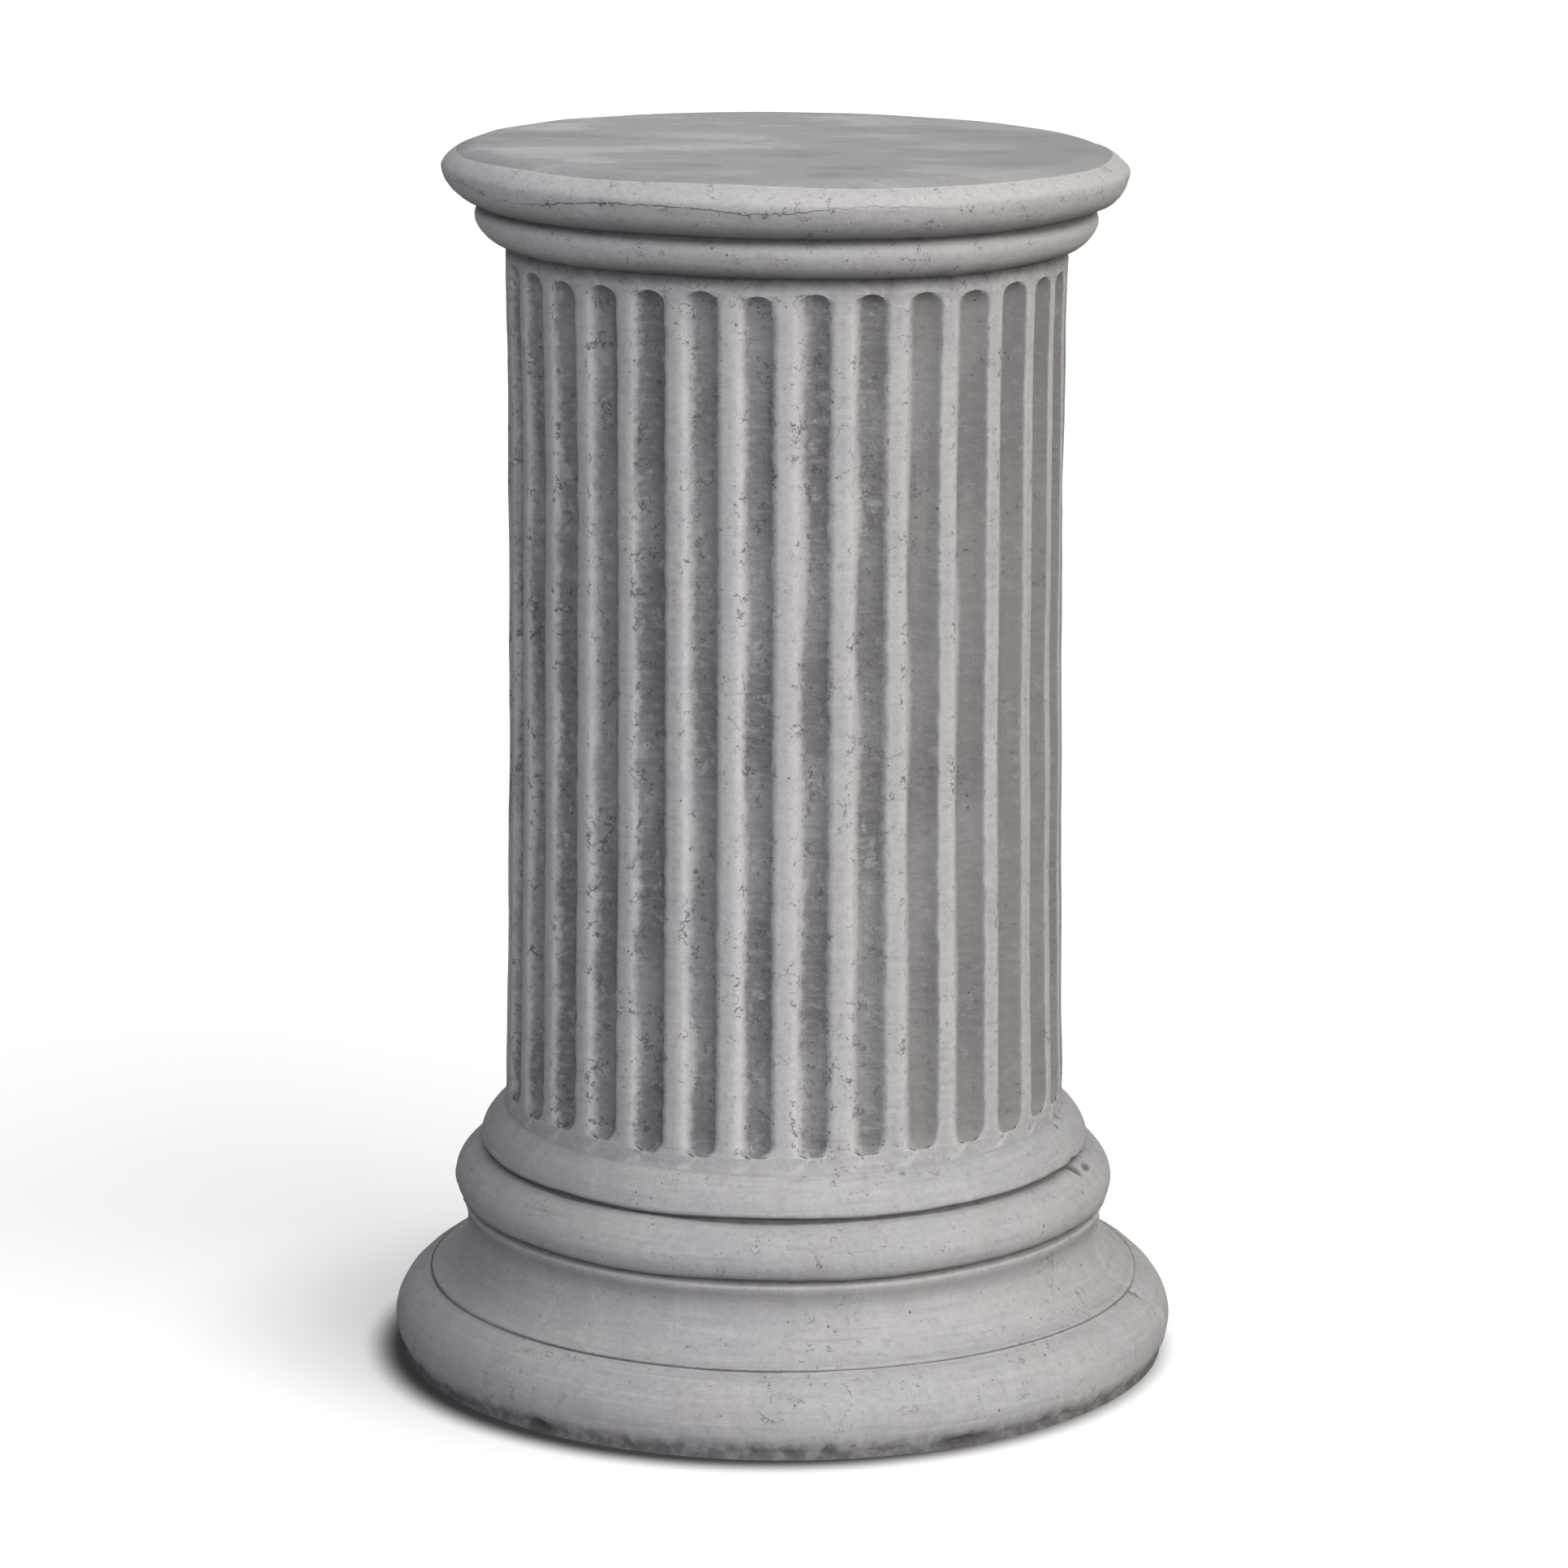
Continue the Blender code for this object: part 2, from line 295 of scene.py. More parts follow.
# a flute's section at each height: how far its columns stand from its middle and how deep they are sunk.
# It is a round trough that ends in a squarish round: off = (across^q + past^q)^(1/q), with past the distance
# beyond its full width, and depth = sqrt(r^2 - off^2) - (r - d)
def fluteSections(height, past, pitchWidth):
    half, depth, square = fluteHalfWidth(), fluting["depth"], fluting["squareness"]
    troughRadius = (half ** 2 + depth ** 2) / (2 * depth)
    width = half * np.maximum(1 - (past / half) ** square, 0) ** (1 / square)
    columnWidth = np.maximum(width, fluting["leastWidth"] * half)[:, None]
    leftEdge = (1 + fluting["leftRagged"] / half * ragged(height, fluting["seed"])) * columnWidth
    rightEdge = (1 + fluting["rightRagged"] / half * ragged(height, fluting["seed"] + 1)) * columnWidth

    across = np.zeros((len(height), fluting["count"], columnsPerFlute))
    sunk = np.zeros_like(across)
    side = np.zeros_like(across)
    for place, share in enumerate(troughColumns, start=2):
        off = (np.abs(share * columnWidth) ** square + past[:, None] ** square) ** (1 / square)
        trough = np.sqrt(np.maximum(troughRadius ** 2 - off ** 2, 0)) - (troughRadius - depth)
        across[:, :, place] = share * (leftEdge if share < 0 else rightEdge)
        sunk[:, :, place] = np.maximum(trough, 0)
        side[:, :, place] = share
    for place, share in arrisColumns.items():
        across[:, :, place] = share * ((leftEdge if share < 0 else rightEdge) + fluting["arris"])
        side[:, :, place] = share
    across[:, :, 0] = -pitchWidth[:, None]
    inRun = smoothStep(width / half, fluting["arrisFrom"], fluting["arrisTo"])[:, None]
    for place, share in droppedColumns.items():
        sunk[:, :, place] += inRun * fluting["arrisDrop"] * share
    return across, sunk, side


# how far each flute's ends stand off one level, which fades out along the flute
def fluteEndLift(height, marks):
    half = fluteHalfWidth()
    runFoot, runHead = fluteRun(marks)
    fade = fluting["endFade"]
    pick = np.random.default_rng(fluting["seed"] + 2)
    wander = pick.uniform(-1, 1, (2, fluting["count"])) * fluting["endWander"]
    atFoot = np.interp(height, [marks["shaftFoot"], runFoot - half, runFoot, runFoot + fade], [0, 1, 1, 0])
    atHead = np.interp(height, [runHead - fade, runHead, runHead + half, marks["shaftHead"]], [0, 1, 1, 0])
    lift = atFoot[:, None] * wander[0] + atHead[:, None] * wander[1]
    return np.repeat(lift, columnsPerFlute, axis=1)


# the fluted shaft's columns: flute after flute round the axis, evenly spaced again beyond the flutes' ends
def fluteGrid(height, marks):
    half = fluteHalfWidth()
    runFoot, runHead = fluteRun(marks)
    past = np.maximum(np.maximum(runFoot - height, height - runHead), 0)
    shaftRadius = np.interp(height, [marks["shaftFoot"], marks["shaftHead"]],
                            [outline["shaftFootRadius"], outline["shaftHeadRadius"]])
    pitchWidth = halfPitch * shaftRadius
    across, sunk, side = fluteSections(height, past, pitchWidth)

    even = (np.arange(columnsPerFlute) / (columnsPerFlute / 2) - 1) * pitchWidth[:, None, None]
    gap = np.maximum((runFoot - half - height) / fluting["footGap"],
                     (height - runHead - half) / fluting["headGap"])
    spread = smoothStep(gap, 0, 1)[:, None, None]
    across = across * (1 - spread) + even * spread
    centre = (2 * np.arange(fluting["count"]) + 1) * halfPitch
    azimuth = centre[None, :, None] + across / shaftRadius[:, None, None]
    pushed = bell(signedTurn(azimuth, fluting["pushedAt"]), math.radians(fluting["pushedWidth"]))
    azimuth = azimuth + math.radians(fluting["pushed"]) * pushed

    flat = (len(height), columns)
    return SimpleNamespace(azimuth=azimuth.reshape(flat), sunk=sunk.reshape(flat), side=side.reshape(flat),
                           lift=fluteEndLift(height, marks), pastEnd=(past / half)[:, None])


# 1 on the shaft, fading to 0 at its foot and its head
def fullness(grid):
    foot, head = grid.marks["shaftFoot"], grid.marks["shaftHead"]
    rising = smoothStep(grid.height, foot, foot + fluting["footFade"])
    return rising * (1 - smoothStep(grid.height, head - fluting["headFade"], head))


# broad and fine unevenness, and a shaft that is a little fuller than its drawn line
def unevenSkin(grid):
    moved = uneven["broad"] * unevenness(grid.azimuth, grid.level, uneven["broadLength"], seed=3)
    moved += uneven["fine"] * unevenness(grid.azimuth, grid.level, uneven["fineLength"], seed=4)
    moved = moved * np.where(grid.onShaft, uneven["onShaft"], 1.0) - uneven["inset"]
    head = grid.marks["shaftHead"]
    fuller = fullness(grid)
    flare = smoothStep(grid.height, head - fluting["flareFrom"], head - fluting["flareTo"]) * fuller
    return moved + (fluting["swell"] * fuller + fluting["headFlare"] * flare)


# the mould's seams: a low rough ridge, a bell across, down the base mouldings and faintly on the cap
def seamRidges(grid):
    ridge = np.zeros_like(grid.azimuth)
    for centre in seams["azimuths"]:
        gap = signedTurn(grid.azimuth, centre) * grid.radius
        wander = seams["wander"] * unevenness(0 * grid.azimuth, grid.level, seams["wanderLength"], seed=8)
        ridge += bell(gap - wander, seams["ridgeWidth"])
    rough = unevenness(grid.azimuth, grid.level, seams["roughLength"], seed=9)
    rough = 1 - seams["rough"] + seams["rough"] * rough
    below = 1 - smoothStep(grid.height, seams["top"] - seams["topFade"], seams["top"])
    head = grid.marks["shaftHead"]
    above = smoothStep(grid.height, head, head + seams["capFade"]) * seams["onCap"]
    return seams["ridge"] * ridge * rough * (below + above)


# the base mouldings dip towards the right-hand seam, by the square of the share of the way there
def seamSag(grid):
    right = seams["azimuths"][0]
    turn = signedTurn(grid.azimuth, right)
    before = np.clip(1 + turn / math.radians(right - seams["sagFrom"]), 0, 1)
    after = np.clip(1 - turn / math.radians(seams["sagBeyond"]), 0, 1)
    dip = np.where(turn < 0, before ** 2, after ** 2)
    inBase = smoothStep(grid.height, *seams["sagStart"]) * (1 - smoothStep(grid.height, *seams["sagEnd"]))
    return seams["sag"] * dip * inBase


# azimuth, height, half width, half height and depth of single chips, holes and nicks
chips = {
    "hole by the ring": (71.0, 0.1048, 0.0042, 0.0030, 0.0034),
    "tail of that hole": (74.5, 0.1030, 0.0050, 0.0016, 0.0014),
    "nick under the upper round": (75.5, 0.0795, 0.0030, 0.0018, 0.0016),
    "end of the incised line": (76.0, 0.0390, 0.0022, 0.0024, 0.0018),
    "hole at the shaft's foot": (76.5, 0.1272, 0.0022, 0.0024, 0.0022),
    "second hole there": (72.0, 0.1246, 0.0018, 0.0014, 0.0014),
    "pit on the ring": (24.0, 0.1253, 0.0016, 0.0013, 0.0012),
    "nick in the shaft": (-1.0, 0.2490, 0.0012, 0.0016, 0.0008),
    "nick in the slab": (80.0, 0.5922, 0.0014, 0.0040, 0.0015),
    "nick in the cap round": (83.0, 0.5770, 0.0015, 0.0060, 0.0013),
    "chip in the foot, left": (-38.0, 0.0020, 0.0090, 0.0040, 0.0022),
    "chip in the foot, right": (27.0, 0.0015, 0.0120, 0.0035, 0.0020),
    "chip in the foot, behind": (160.0, 0.0020, 0.0110, 0.0040, 0.0024),
    "chip in the lip": (-150.0, 0.0765, 0.0060, 0.0026, 0.0016),
}
chipEdge = 1.3                               # a higher power gives the bowls steeper edges
# chips deeper than this get dirt and painted shade inside
dirtAndShadeChipDepth = 0.0011                           # chips deeper than this are dark inside


# single chips: a bowl for each, exp(-(x^2 + y^2)^1.3) with x and y as shares of its half width and height
def chipBowls(grid):
    cut = np.zeros_like(grid.azimuth)
    chipped = np.zeros_like(grid.azimuth)
    for centre, chipHeight, halfWidth, halfHeight, depth in chips.values():
        sideways = signedTurn(grid.azimuth, centre) * grid.radius / halfWidth
        upwards = (grid.level - chipHeight) / halfHeight
        bowl = np.exp(-(sideways ** 2 + upwards ** 2) ** chipEdge)
        cut += depth * bowl
        chipped = np.maximum(chipped, bowl * (depth > dirtAndShadeChipDepth))
    return cut, chipped


# the foot's broken edge: how deep it is broken, how high and from which radius, and its two sets of waves
footEdge = {
    "least": 0.0012, "more": 0.0014, "reach": 0.0060, "outside": 0.18,
    "longWaves": 0.030, "longShare": 0.6, "shortWaves": 0.009,
}


# the foot's edge is broken all round, less and less going up as a bell
def brokenFoot(grid):
    broken = unevenness(grid.azimuth, 0 * grid.level, footEdge["longWaves"], seed=14) * footEdge["longShare"]
    broken = np.maximum(broken + unevenness(grid.azimuth, 0 * grid.level, footEdge["shortWaves"], seed=15), 0)
    depth = footEdge["least"] + footEdge["more"] * broken
    return depth * bell(grid.level, footEdge["reach"]) * (grid.radius > footEdge["outside"])


# the quirks: how far they are cut below their drawn line, and for each how far its dirt and painted shade
# reach along the outline and how much of the darkest part is missing
quirks = {"cut": 0.0013, "width": 0.0013, "farthest": 4, "deepened": ("upperFoot", "ringFoot", "slabFoot")}
quirkDirtAndShade = {
    "lowerTop": (0.0009, 0), "upperFoot": (0.0021, 0), "ringFoot": (0.0023, 0),
    "shaftFoot": (0.0055, 0.66), "shaftHead": (0.0078, 0), "slabFoot": (0.0066, 0),
}


# length along the outline at which it comes to a height
def alongAt(grid, level):
    side = slice(len(outline["undersideShares"]), -len(outline["topShares"]))
    return np.interp(level, np.maximum.accumulate(grid.height[side, 0]), grid.along[side, 0])


# the quirks are cut deeper than their drawn line, as a bell along the outline
def quirkCuts(grid):
    gaps = [grid.along - alongAt(grid, grid.marks[corner]) for corner in quirks["deepened"]]
    return sum(quirks["cut"] * bell(gap, quirks["width"]) for gap in gaps)


# the line left by a pause in the pour, round the underside of the slab's rim, and fainter on the right
pour = {
    "rise": 0.0135, "wander": 0.0013, "waves": 0.09, "often": 0.7, "depth": 0.0004, "width": 0.0013,
    "underDepth": 0.0007, "underReach": 0.0016, "fadesAt": 12.0, "fadeTurn": (-0.3, 0.2), "faintest": 0.35,
    "gapReach": 0.02,
}


# the pour line: a bell across its wandering level, and the rougher band under it, which lies deeper
def pourLine(grid):
    around, ground = grid.azimuth, 0 * grid.level
    wander = pour["wander"] * unevenness(around, ground, pour["waves"], seed=21)
    level = grid.marks["slabFoot"] + pour["rise"] + wander
    strength = np.clip(unevenness(around, ground, pour["waves"], seed=22) + pour["often"], 0, 1)
    onLeft = smoothStep(-signedTurn(around, pour["fadesAt"]), *pour["fadeTurn"])
    strength *= pour["faintest"] + (1 - pour["faintest"]) * onLeft
    cut = pour["depth"] * bell(grid.level - level, pour["width"]) * strength
    under = smoothStep(level - grid.level, 0, pour["underReach"])
    under = under * smoothStep(grid.level, grid.marks["slabFoot"], level)
    return cut + pour["underDepth"] * under * strength, strength, level


# the flutes' dark stain, with painted shade across their ends. Its places across a flute are shares of the
# half width, -1 at the left edge
fluteStainShadeAndLight = {
    "across": (-0.98, 0.00), "wander": 0.10, "wanderLength": 0.05, "patch": 0.07, "patchLength": 0.09,
    # left of the first turns it reaches further left; right of the second the flutes are smooth, and stained
    # up to their right edge
    "moreLeft": 0.42, "leftTurn": (12, 38), "rightTurn": (14, 30),
    # painted shade across the flutes' ends: its most share, and the shares past full width between which it
    # grows
    "end": 0.6, "endFrom": (0.2, 0.8), "shallow": 9,
    "rightEdge": 0.8, "rightEdgeFrom": (0.66, 1.0), "rightEdgeKept": 0.8,
    "deep": 0.5, "deepPatch": 0.35, "deepPatchLength": 0.10, "deepRight": 0.6, "deepAt": 70, "deepWidth": 30,
    # the lands about this azimuth are painted paler: painted light on the front
    "litFrontAt": -6, "litFrontWidth": 11,
}


# the flutes' stain: soft where it starts on their left wall, and again close to their right edge, and up
# to the edge on the right-hand side of the shaft; across their ends it is full, as painted shade
def fluteStainAndShade(grid, flutes, depthShare, rightHand):
    s = fluteStainShadeAndLight
    reach = s["wander"] * unevenness(grid.azimuth, 0 * grid.level, s["wanderLength"], seed=41)
    reach += s["patch"] * unevenness(grid.azimuth, grid.level, s["patchLength"], seed=42)
    reach += s["moreLeft"] * smoothStep(-signedTurn(grid.azimuth, 0), *np.radians(s["leftTurn"]))
    stainAndEndShade = smoothStep(flutes.side + reach, *s["across"])
    # painted shade across the flutes' ends
    stainAndEndShade = np.maximum(stainAndEndShade, s["end"] * smoothStep(flutes.pastEnd, *s["endFrom"]))
    rightEdge = s["rightEdge"] * smoothStep(flutes.side, *s["rightEdgeFrom"])
    rightEdge = rightEdge * (1 - s["rightEdgeKept"] * rightHand)
    return stainAndEndShade * (np.clip(depthShare * s["shallow"], 0, 1) * (1 - rightEdge))


# how deeply the flutes are stained: in patches, and most round the right-hand side
def deeperStain(grid):
    s = fluteStainShadeAndLight
    deeper = s["deep"] + s["deepPatch"] * unevenness(grid.azimuth, grid.level, s["deepPatchLength"], seed=43)
    deeper += s["deepRight"] * bell(signedTurn(grid.azimuth, s["deepAt"]), math.radians(s["deepWidth"]))
    return np.clip(deeper, 0, 1)


# the slab settled a little lower on the right; its trowelled coat ends on the shoulder
slab = {
    "lean": 0.0080, "drop": 0.0010, "leanReach": 0.03,    # over how much of the shaft's head the lean fades
    "coatRadius": 0.1608, "coatWander": 0.0006, "coatWanderLength": 0.16, "coatReach": 0.03,
    "shoulder": 0.012,
}


# distance inwards from the edge of the top's smooth coat, along the outline
def coatDistance(grid):
    shoulder = grid.height[:, 0] > pedestalHeight - slab["shoulder"]
    coatAt = np.interp(slab["coatRadius"], grid.radius[shoulder, 0][::-1], grid.along[shoulder, 0][::-1])
    wander = unevenness(grid.azimuth, 0 * grid.level, slab["coatWanderLength"], seed=31)
    gap = grid.along - coatAt + slab["coatWander"] * wander
    return np.clip(gap, -slab["coatReach"], slab["coatReach"])


# distance along the outline from the nearest quirk, as a share of how far its dirt and painted shade reach
def quirkDistance(grid):
    gaps = [np.abs(grid.along - alongAt(grid, grid.marks[corner])) / reach + cleaner
            for corner, (reach, cleaner) in quirkDirtAndShade.items()]
    return np.minimum(np.min(gaps, axis=0), quirks["farthest"])


# painted shade on the base mouldings, with the turns in radians: most on the left, less on the right
shadeAndCapFades = {
    "left": (0.25, 1.15), "right": (0.30, 1.0), "rightShare": 0.40, "share": 0.85, "least": 0.22,
    "fade": (0.118, 0.138),                  # heights between which it ends
    # how steeply the underside of a moulding faces down for its painted shade, how far below the lip the
    # painted shade under it reaches, and how soon the cap and the slab's rim start
    "undersideFrom": (0.55, 0.97), "lipShade": (0.012, 0.002), "capFade": 0.006, "rimFade": 0.0005,
}


# how much painted shade darkens the base mouldings, which ends at the shaft's foot
def baseSideShading(grid):
    turn = signedTurn(grid.azimuth, 0)
    baseSideShade = smoothStep(-turn, *shadeAndCapFades["left"])
    baseSideShade = baseSideShade + shadeAndCapFades["rightShare"] * smoothStep(turn, *shadeAndCapFades["right"])
    baseSideShade = baseSideShade * shadeAndCapFades["share"] + shadeAndCapFades["least"]
    return baseSideShade * (1 - smoothStep(grid.level, *shadeAndCapFades["fade"]))


# masks for the material, each with a value for every point or for every row
def castingMasks(grid, flutes):
    marks, height, azimuth = grid.marks, grid.height, grid.azimuth
    depthShare = grid.sunk / fluting["depth"]
    rightHand = smoothStep(signedTurn(azimuth, 0), *np.radians(fluteStainShadeAndLight["rightTurn"]))
    # painted light: a paler band on the front lands
    litFront = bell(signedTurn(azimuth, fluteStainShadeAndLight["litFrontAt"]), math.radians(fluteStainShadeAndLight["litFrontWidth"]))
    # pale edges: part wear, part a painted highlight strongest on the lit left arris
    worn = [paleEdgeColumns.get(place, 0.0) for place in range(columnsPerFlute)]
    lipFrom, lipTo = (marks["hollowTop"] - gap for gap in shadeAndCapFades["lipShade"])
    aboveGround = grid.along > grid.along[len(outline["undersideShares"])]
    return {
        "stainAndEndShade": fluteStainAndShade(grid, flutes, depthShare, rightHand),
        "edgeWearAndHighlight": np.tile(worn, fluting["count"]) * grid.onShaft,
        "fluteDepth": depthShare,
        "quirkGap": quirkDistance(grid),
        "chipped": grid.chipped,
        "pourLine": grid.pourStrength,
        "pourGap": np.clip(grid.level - grid.pourLevel, -pour["gapReach"], pour["gapReach"]),
        "onShaft": grid.onShaft.astype(float),
        "coatGap": coatDistance(grid),
        "deeper": deeperStain(grid),
        "onCap": smoothStep(height, marks["shaftHead"], marks["shaftHead"] + shadeAndCapFades["capFade"]),
        "onRim": smoothStep(height, marks["slabFoot"] - shadeAndCapFades["rimFade"], marks["slabFoot"]),
        "litFront": litFront * grid.onShaft,
        # painted shade on the sides of the base mouldings
        "baseSideShade": baseSideShading(grid),
        "smoothFlute": rightHand * grid.onShaft,
        # painted shade on the undersides of the mouldings
        "underside": smoothStep(-grid.upward, *shadeAndCapFades["undersideFrom"]) * aboveGround,
        # painted shade under the lip of the hollow
        "underLip": (height < marks["hollowTop"] - clearance) * smoothStep(height, lipFrom, lipTo),
    }


# every point of the casting: the outline turned round the axis, then moved along its own normal
def castingGrid():
    marks = cornerHeights()
    rows = outlineRows(marks)
    radius, height = rows[:, :1], rows[:, 1:]
    run = np.gradient(rows, axis=0)
    run /= np.hypot(run[:, :1], run[:, 1:])
    outward, upward = run[:, 1:], -run[:, :1]
    along = np.concatenate([[0], np.cumsum(np.hypot(*np.diff(rows, axis=0).T))])[:, None]
    onShaft = (height > marks["shaftFoot"] + tiny) & (height < marks["shaftHead"] - tiny)

    shaftOnly = np.clip(height[:, 0], marks["shaftFoot"] + clearance, marks["shaftHead"] - clearance)
    flutes = fluteGrid(shaftOnly, marks)
    fluted = smoothStep(height, marks["upperFoot"], marks["shaftFoot"])
    fluted = fluted * (1 - smoothStep(height, marks["shaftHead"], marks["slabFoot"] + fluting["capBlend"]))
    azimuth = evenColumns() * (1 - fluted) + flutes.azimuth * fluted
    grid = SimpleNamespace(marks=marks, radius=radius, height=height, along=along, onShaft=onShaft,
                           azimuth=azimuth, level=np.broadcast_to(height, azimuth.shape),
                           sunk=flutes.sunk * onShaft, upward=upward)

    chipCut, grid.chipped = chipBowls(grid)
    pourCut, grid.pourStrength, grid.pourLevel = pourLine(grid)
    moved = unevenSkin(grid) + seamRidges(grid) - chipCut - brokenFoot(grid) - quirkCuts(grid) - pourCut
    flat = uneven["flat"] * unevenness(azimuth, radius + 0 * azimuth, uneven["flatLength"], seed=5)
    moved = np.where(np.abs(upward) > uneven["flatFrom"], flat - uneven["flatInset"], moved)
    onGround = height[:, 0] < tiny
    moved[onGround] = np.minimum(moved[onGround], 0)

    reach = radius + outward * moved - grid.sunk
    level = grid.level + upward * moved + (flutes.lift * onShaft - seamSag(grid))
    level[onGround] = 0
    tilt = slab["drop"] + slab["lean"] * reach * np.sin(azimuth)
    level = level - tilt * smoothStep(height, marks["shaftHead"] - slab["leanReach"], marks["shaftHead"])
    grid.level = np.clip(level, 0, pedestalHeight)
    reach = np.clip(reach, 0, widestRadius - clearance)
    bow = fluting["bow"] * fullness(grid)
    points = np.stack([reach * np.sin(azimuth) + bow, -reach * np.cos(azimuth), grid.level], axis=2)

    return points, castingMasks(grid, flutes), azimuth, along


# normals of the smooth surface through the grid: across the steps ahead and behind, each weighted by the
# other's length
def gridNormals(points):
    def direction(ahead, behind):
        far = np.maximum(np.linalg.norm(ahead, axis=2, keepdims=True), 1e-7)
        near = np.maximum(np.linalg.norm(behind, axis=2, keepdims=True), 1e-7)
        return ahead * near / far + behind * far / near
    around = direction(np.roll(points, -1, axis=1) - points, points - np.roll(points, 1, axis=1))
    steps = np.diff(points, axis=0)
    upwards = direction(np.concatenate([steps, steps[-1:]]), np.concatenate([steps[:1], steps]))
    normal = np.cross(around, upwards)
    return normal / np.linalg.norm(normal, axis=2, keepdims=True)


# joins a grid round the axis to two poles, as one closed mesh whose faces point out
def closedMesh(name, points, masks, azimuth, along):
    rows, around, _ = points.shape
    corner = np.arange(rows * around).reshape(rows, around)
    beside = np.roll(corner, -1, axis=1)
    quads = np.stack([corner[:-1], beside[:-1], beside[1:], corner[1:]], axis=-1).reshape(-1, 4)
    lowPole, highPole = rows * around, rows * around + 1
    underFan = np.stack([np.full(around, lowPole), beside[0], corner[0]], axis=-1)
    topFan = np.stack([np.full(around, highPole), corner[-1], beside[-1]], axis=-1)
    poles = [[0, 0, points[0, :, 2].mean()], [0, 0, points[-1, :, 2].mean()]]
    places = np.concatenate([points.reshape(-1, 3), poles])
    mesh = bpy.data.meshes.new(name)
    mesh.from_pydata(places.tolist(), [], quads.tolist() + underFan.tolist() + topFan.tolist())
    for maskName, mask in masks.items():
        values = np.broadcast_to(mask, (rows, around))
        ends = [values[0].mean(), values[-1].mean()]
        attribute = mesh.attributes.new(maskName, "FLOAT", "POINT")
        attribute.data.foreach_set("value", np.concatenate([values.ravel(), ends]).astype(np.float32))
    unrollSkin(mesh, azimuth, along)
    mesh.polygons.foreach_set("use_smooth", np.ones(len(mesh.polygons), bool))
    mesh.update()
    normals = np.concatenate([gridNormals(points).reshape(-1, 3), [[0, 0, -1], [0, 0, 1]]])
    mesh.normals_split_custom_set_from_vertices(normals.tolist())
    made = bpy.data.objects.new(name, mesh)
    bpy.context.collection.objects.link(made)
    return made


# UV map of the unrolled skin: u goes round the axis at a usual radius, v up the outline, both in metres
def unrollSkin(mesh, azimuth, along, usualRadius=0.15):
    rows, around = azimuth.shape
    turnAt = np.concatenate([azimuth, azimuth[:, :1] + 2 * np.pi], axis=1) * usualRadius
    upAt = np.broadcast_to(along, (rows, around + 1))
    skin = np.stack([turnAt, upAt], axis=-1)
    quadSkin = np.stack([skin[:-1, :-1], skin[:-1, 1:], skin[1:, 1:], skin[1:, :-1]], axis=2).reshape(-1, 2)
    fanSkin = np.zeros((around * 6, 2))
    uv = mesh.uv_layers.new(name="skin")
    uv.data.foreach_set("uv", np.concatenate([quadSkin, fanSkin]).astype(np.float32).ravel())


casting = closedMesh("pedestal_casting", *castingGrid())
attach(casting, "root")
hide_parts("pedestal")
print("casting:", len(casting.data.polygons), "faces")


# shader graph helpers
class Graph:
    def __init__(self, tree):
        self.tree = tree

    # a node with its settings and its inputs, each of which is a constant or another node's socket
    def add(self, kind, settings=None, **inputs):
        node = self.tree.nodes.new(kind)
        for name, value in (settings or {}).items():
            setattr(node, name, value)
        for name, value in inputs.items():
            key = int(name[1:]) if name[1:].isdigit() else name.replace("_", " ")
            if isinstance(value, bpy.types.NodeSocket):
                self.tree.links.new(value, node.inputs[key])
            else:
                node.inputs[key].default_value = value
        return node

    def math(self, operation, first, second=0.0, third=0.0, clamp=False):
        settings = {"operation": operation, "use_clamp": clamp}
        return self.add("ShaderNodeMath", settings, i0=first, i1=second, i2=third).outputs[0]

    # product of two or more values
    def times(self, first, *others):
        for other in others:
            first = self.math("MULTIPLY", first, other)
        return first

    # what is left of a whole
    def rest(self, value, whole=1.0):
        return self.math("SUBTRACT", whole, value, clamp=True)

    # base, plus strength times how far a pattern stands off its middle
    def shaken(self, base, pattern, strength):
        return self.math("MULTIPLY_ADD", self.math("SUBTRACT", pattern, 0.5), strength, base)

    # grows from toLow to toHigh as value runs from low to high
    def ramp(self, value, low, high, toLow=0.0, toHigh=1.0, smooth=True):
        kind = "SMOOTHSTEP" if smooth else "LINEAR"
        node = self.add("ShaderNodeMapRange", {"interpolation_type": kind},
                        Value=value, From_Min=low, From_Max=high, To_Min=toLow, To_Max=toHigh)
        return node.outputs["Result"]

    def mixColour(self, share, first, second):
        return self.add("ShaderNodeMix", {"data_type": "RGBA"}, i0=share, i6=first, i7=second).outputs[2]

    # lays colours over each other in turn, each by a pattern that starts and is full at two values
    def layers(self, colour, patterns, layers):
        for pattern, start, full, share, over in layers:
            colour = self.mixColour(self.ramp(patterns[pattern], start, full, 0, share), colour, stone[over])
        return colour

    # fractal noise on position times stretch; size is its coarsest blob, in metres
    def noise(self, where, size, detail, roughness=0.55, stretch=(1, 1, 1)):
        place = self.add("ShaderNodeVectorMath", {"operation": "MULTIPLY"}, i0=where, i1=stretch).outputs[0]
        node = self.add("ShaderNodeTexNoise", Vector=place, Scale=1.0 / size, Detail=detail,
                        Roughness=roughness)
        return node.outputs["Fac"]

    def attribute(self, name):
        return self.add("ShaderNodeAttribute", {"attribute_name": name}).outputs["Fac"]


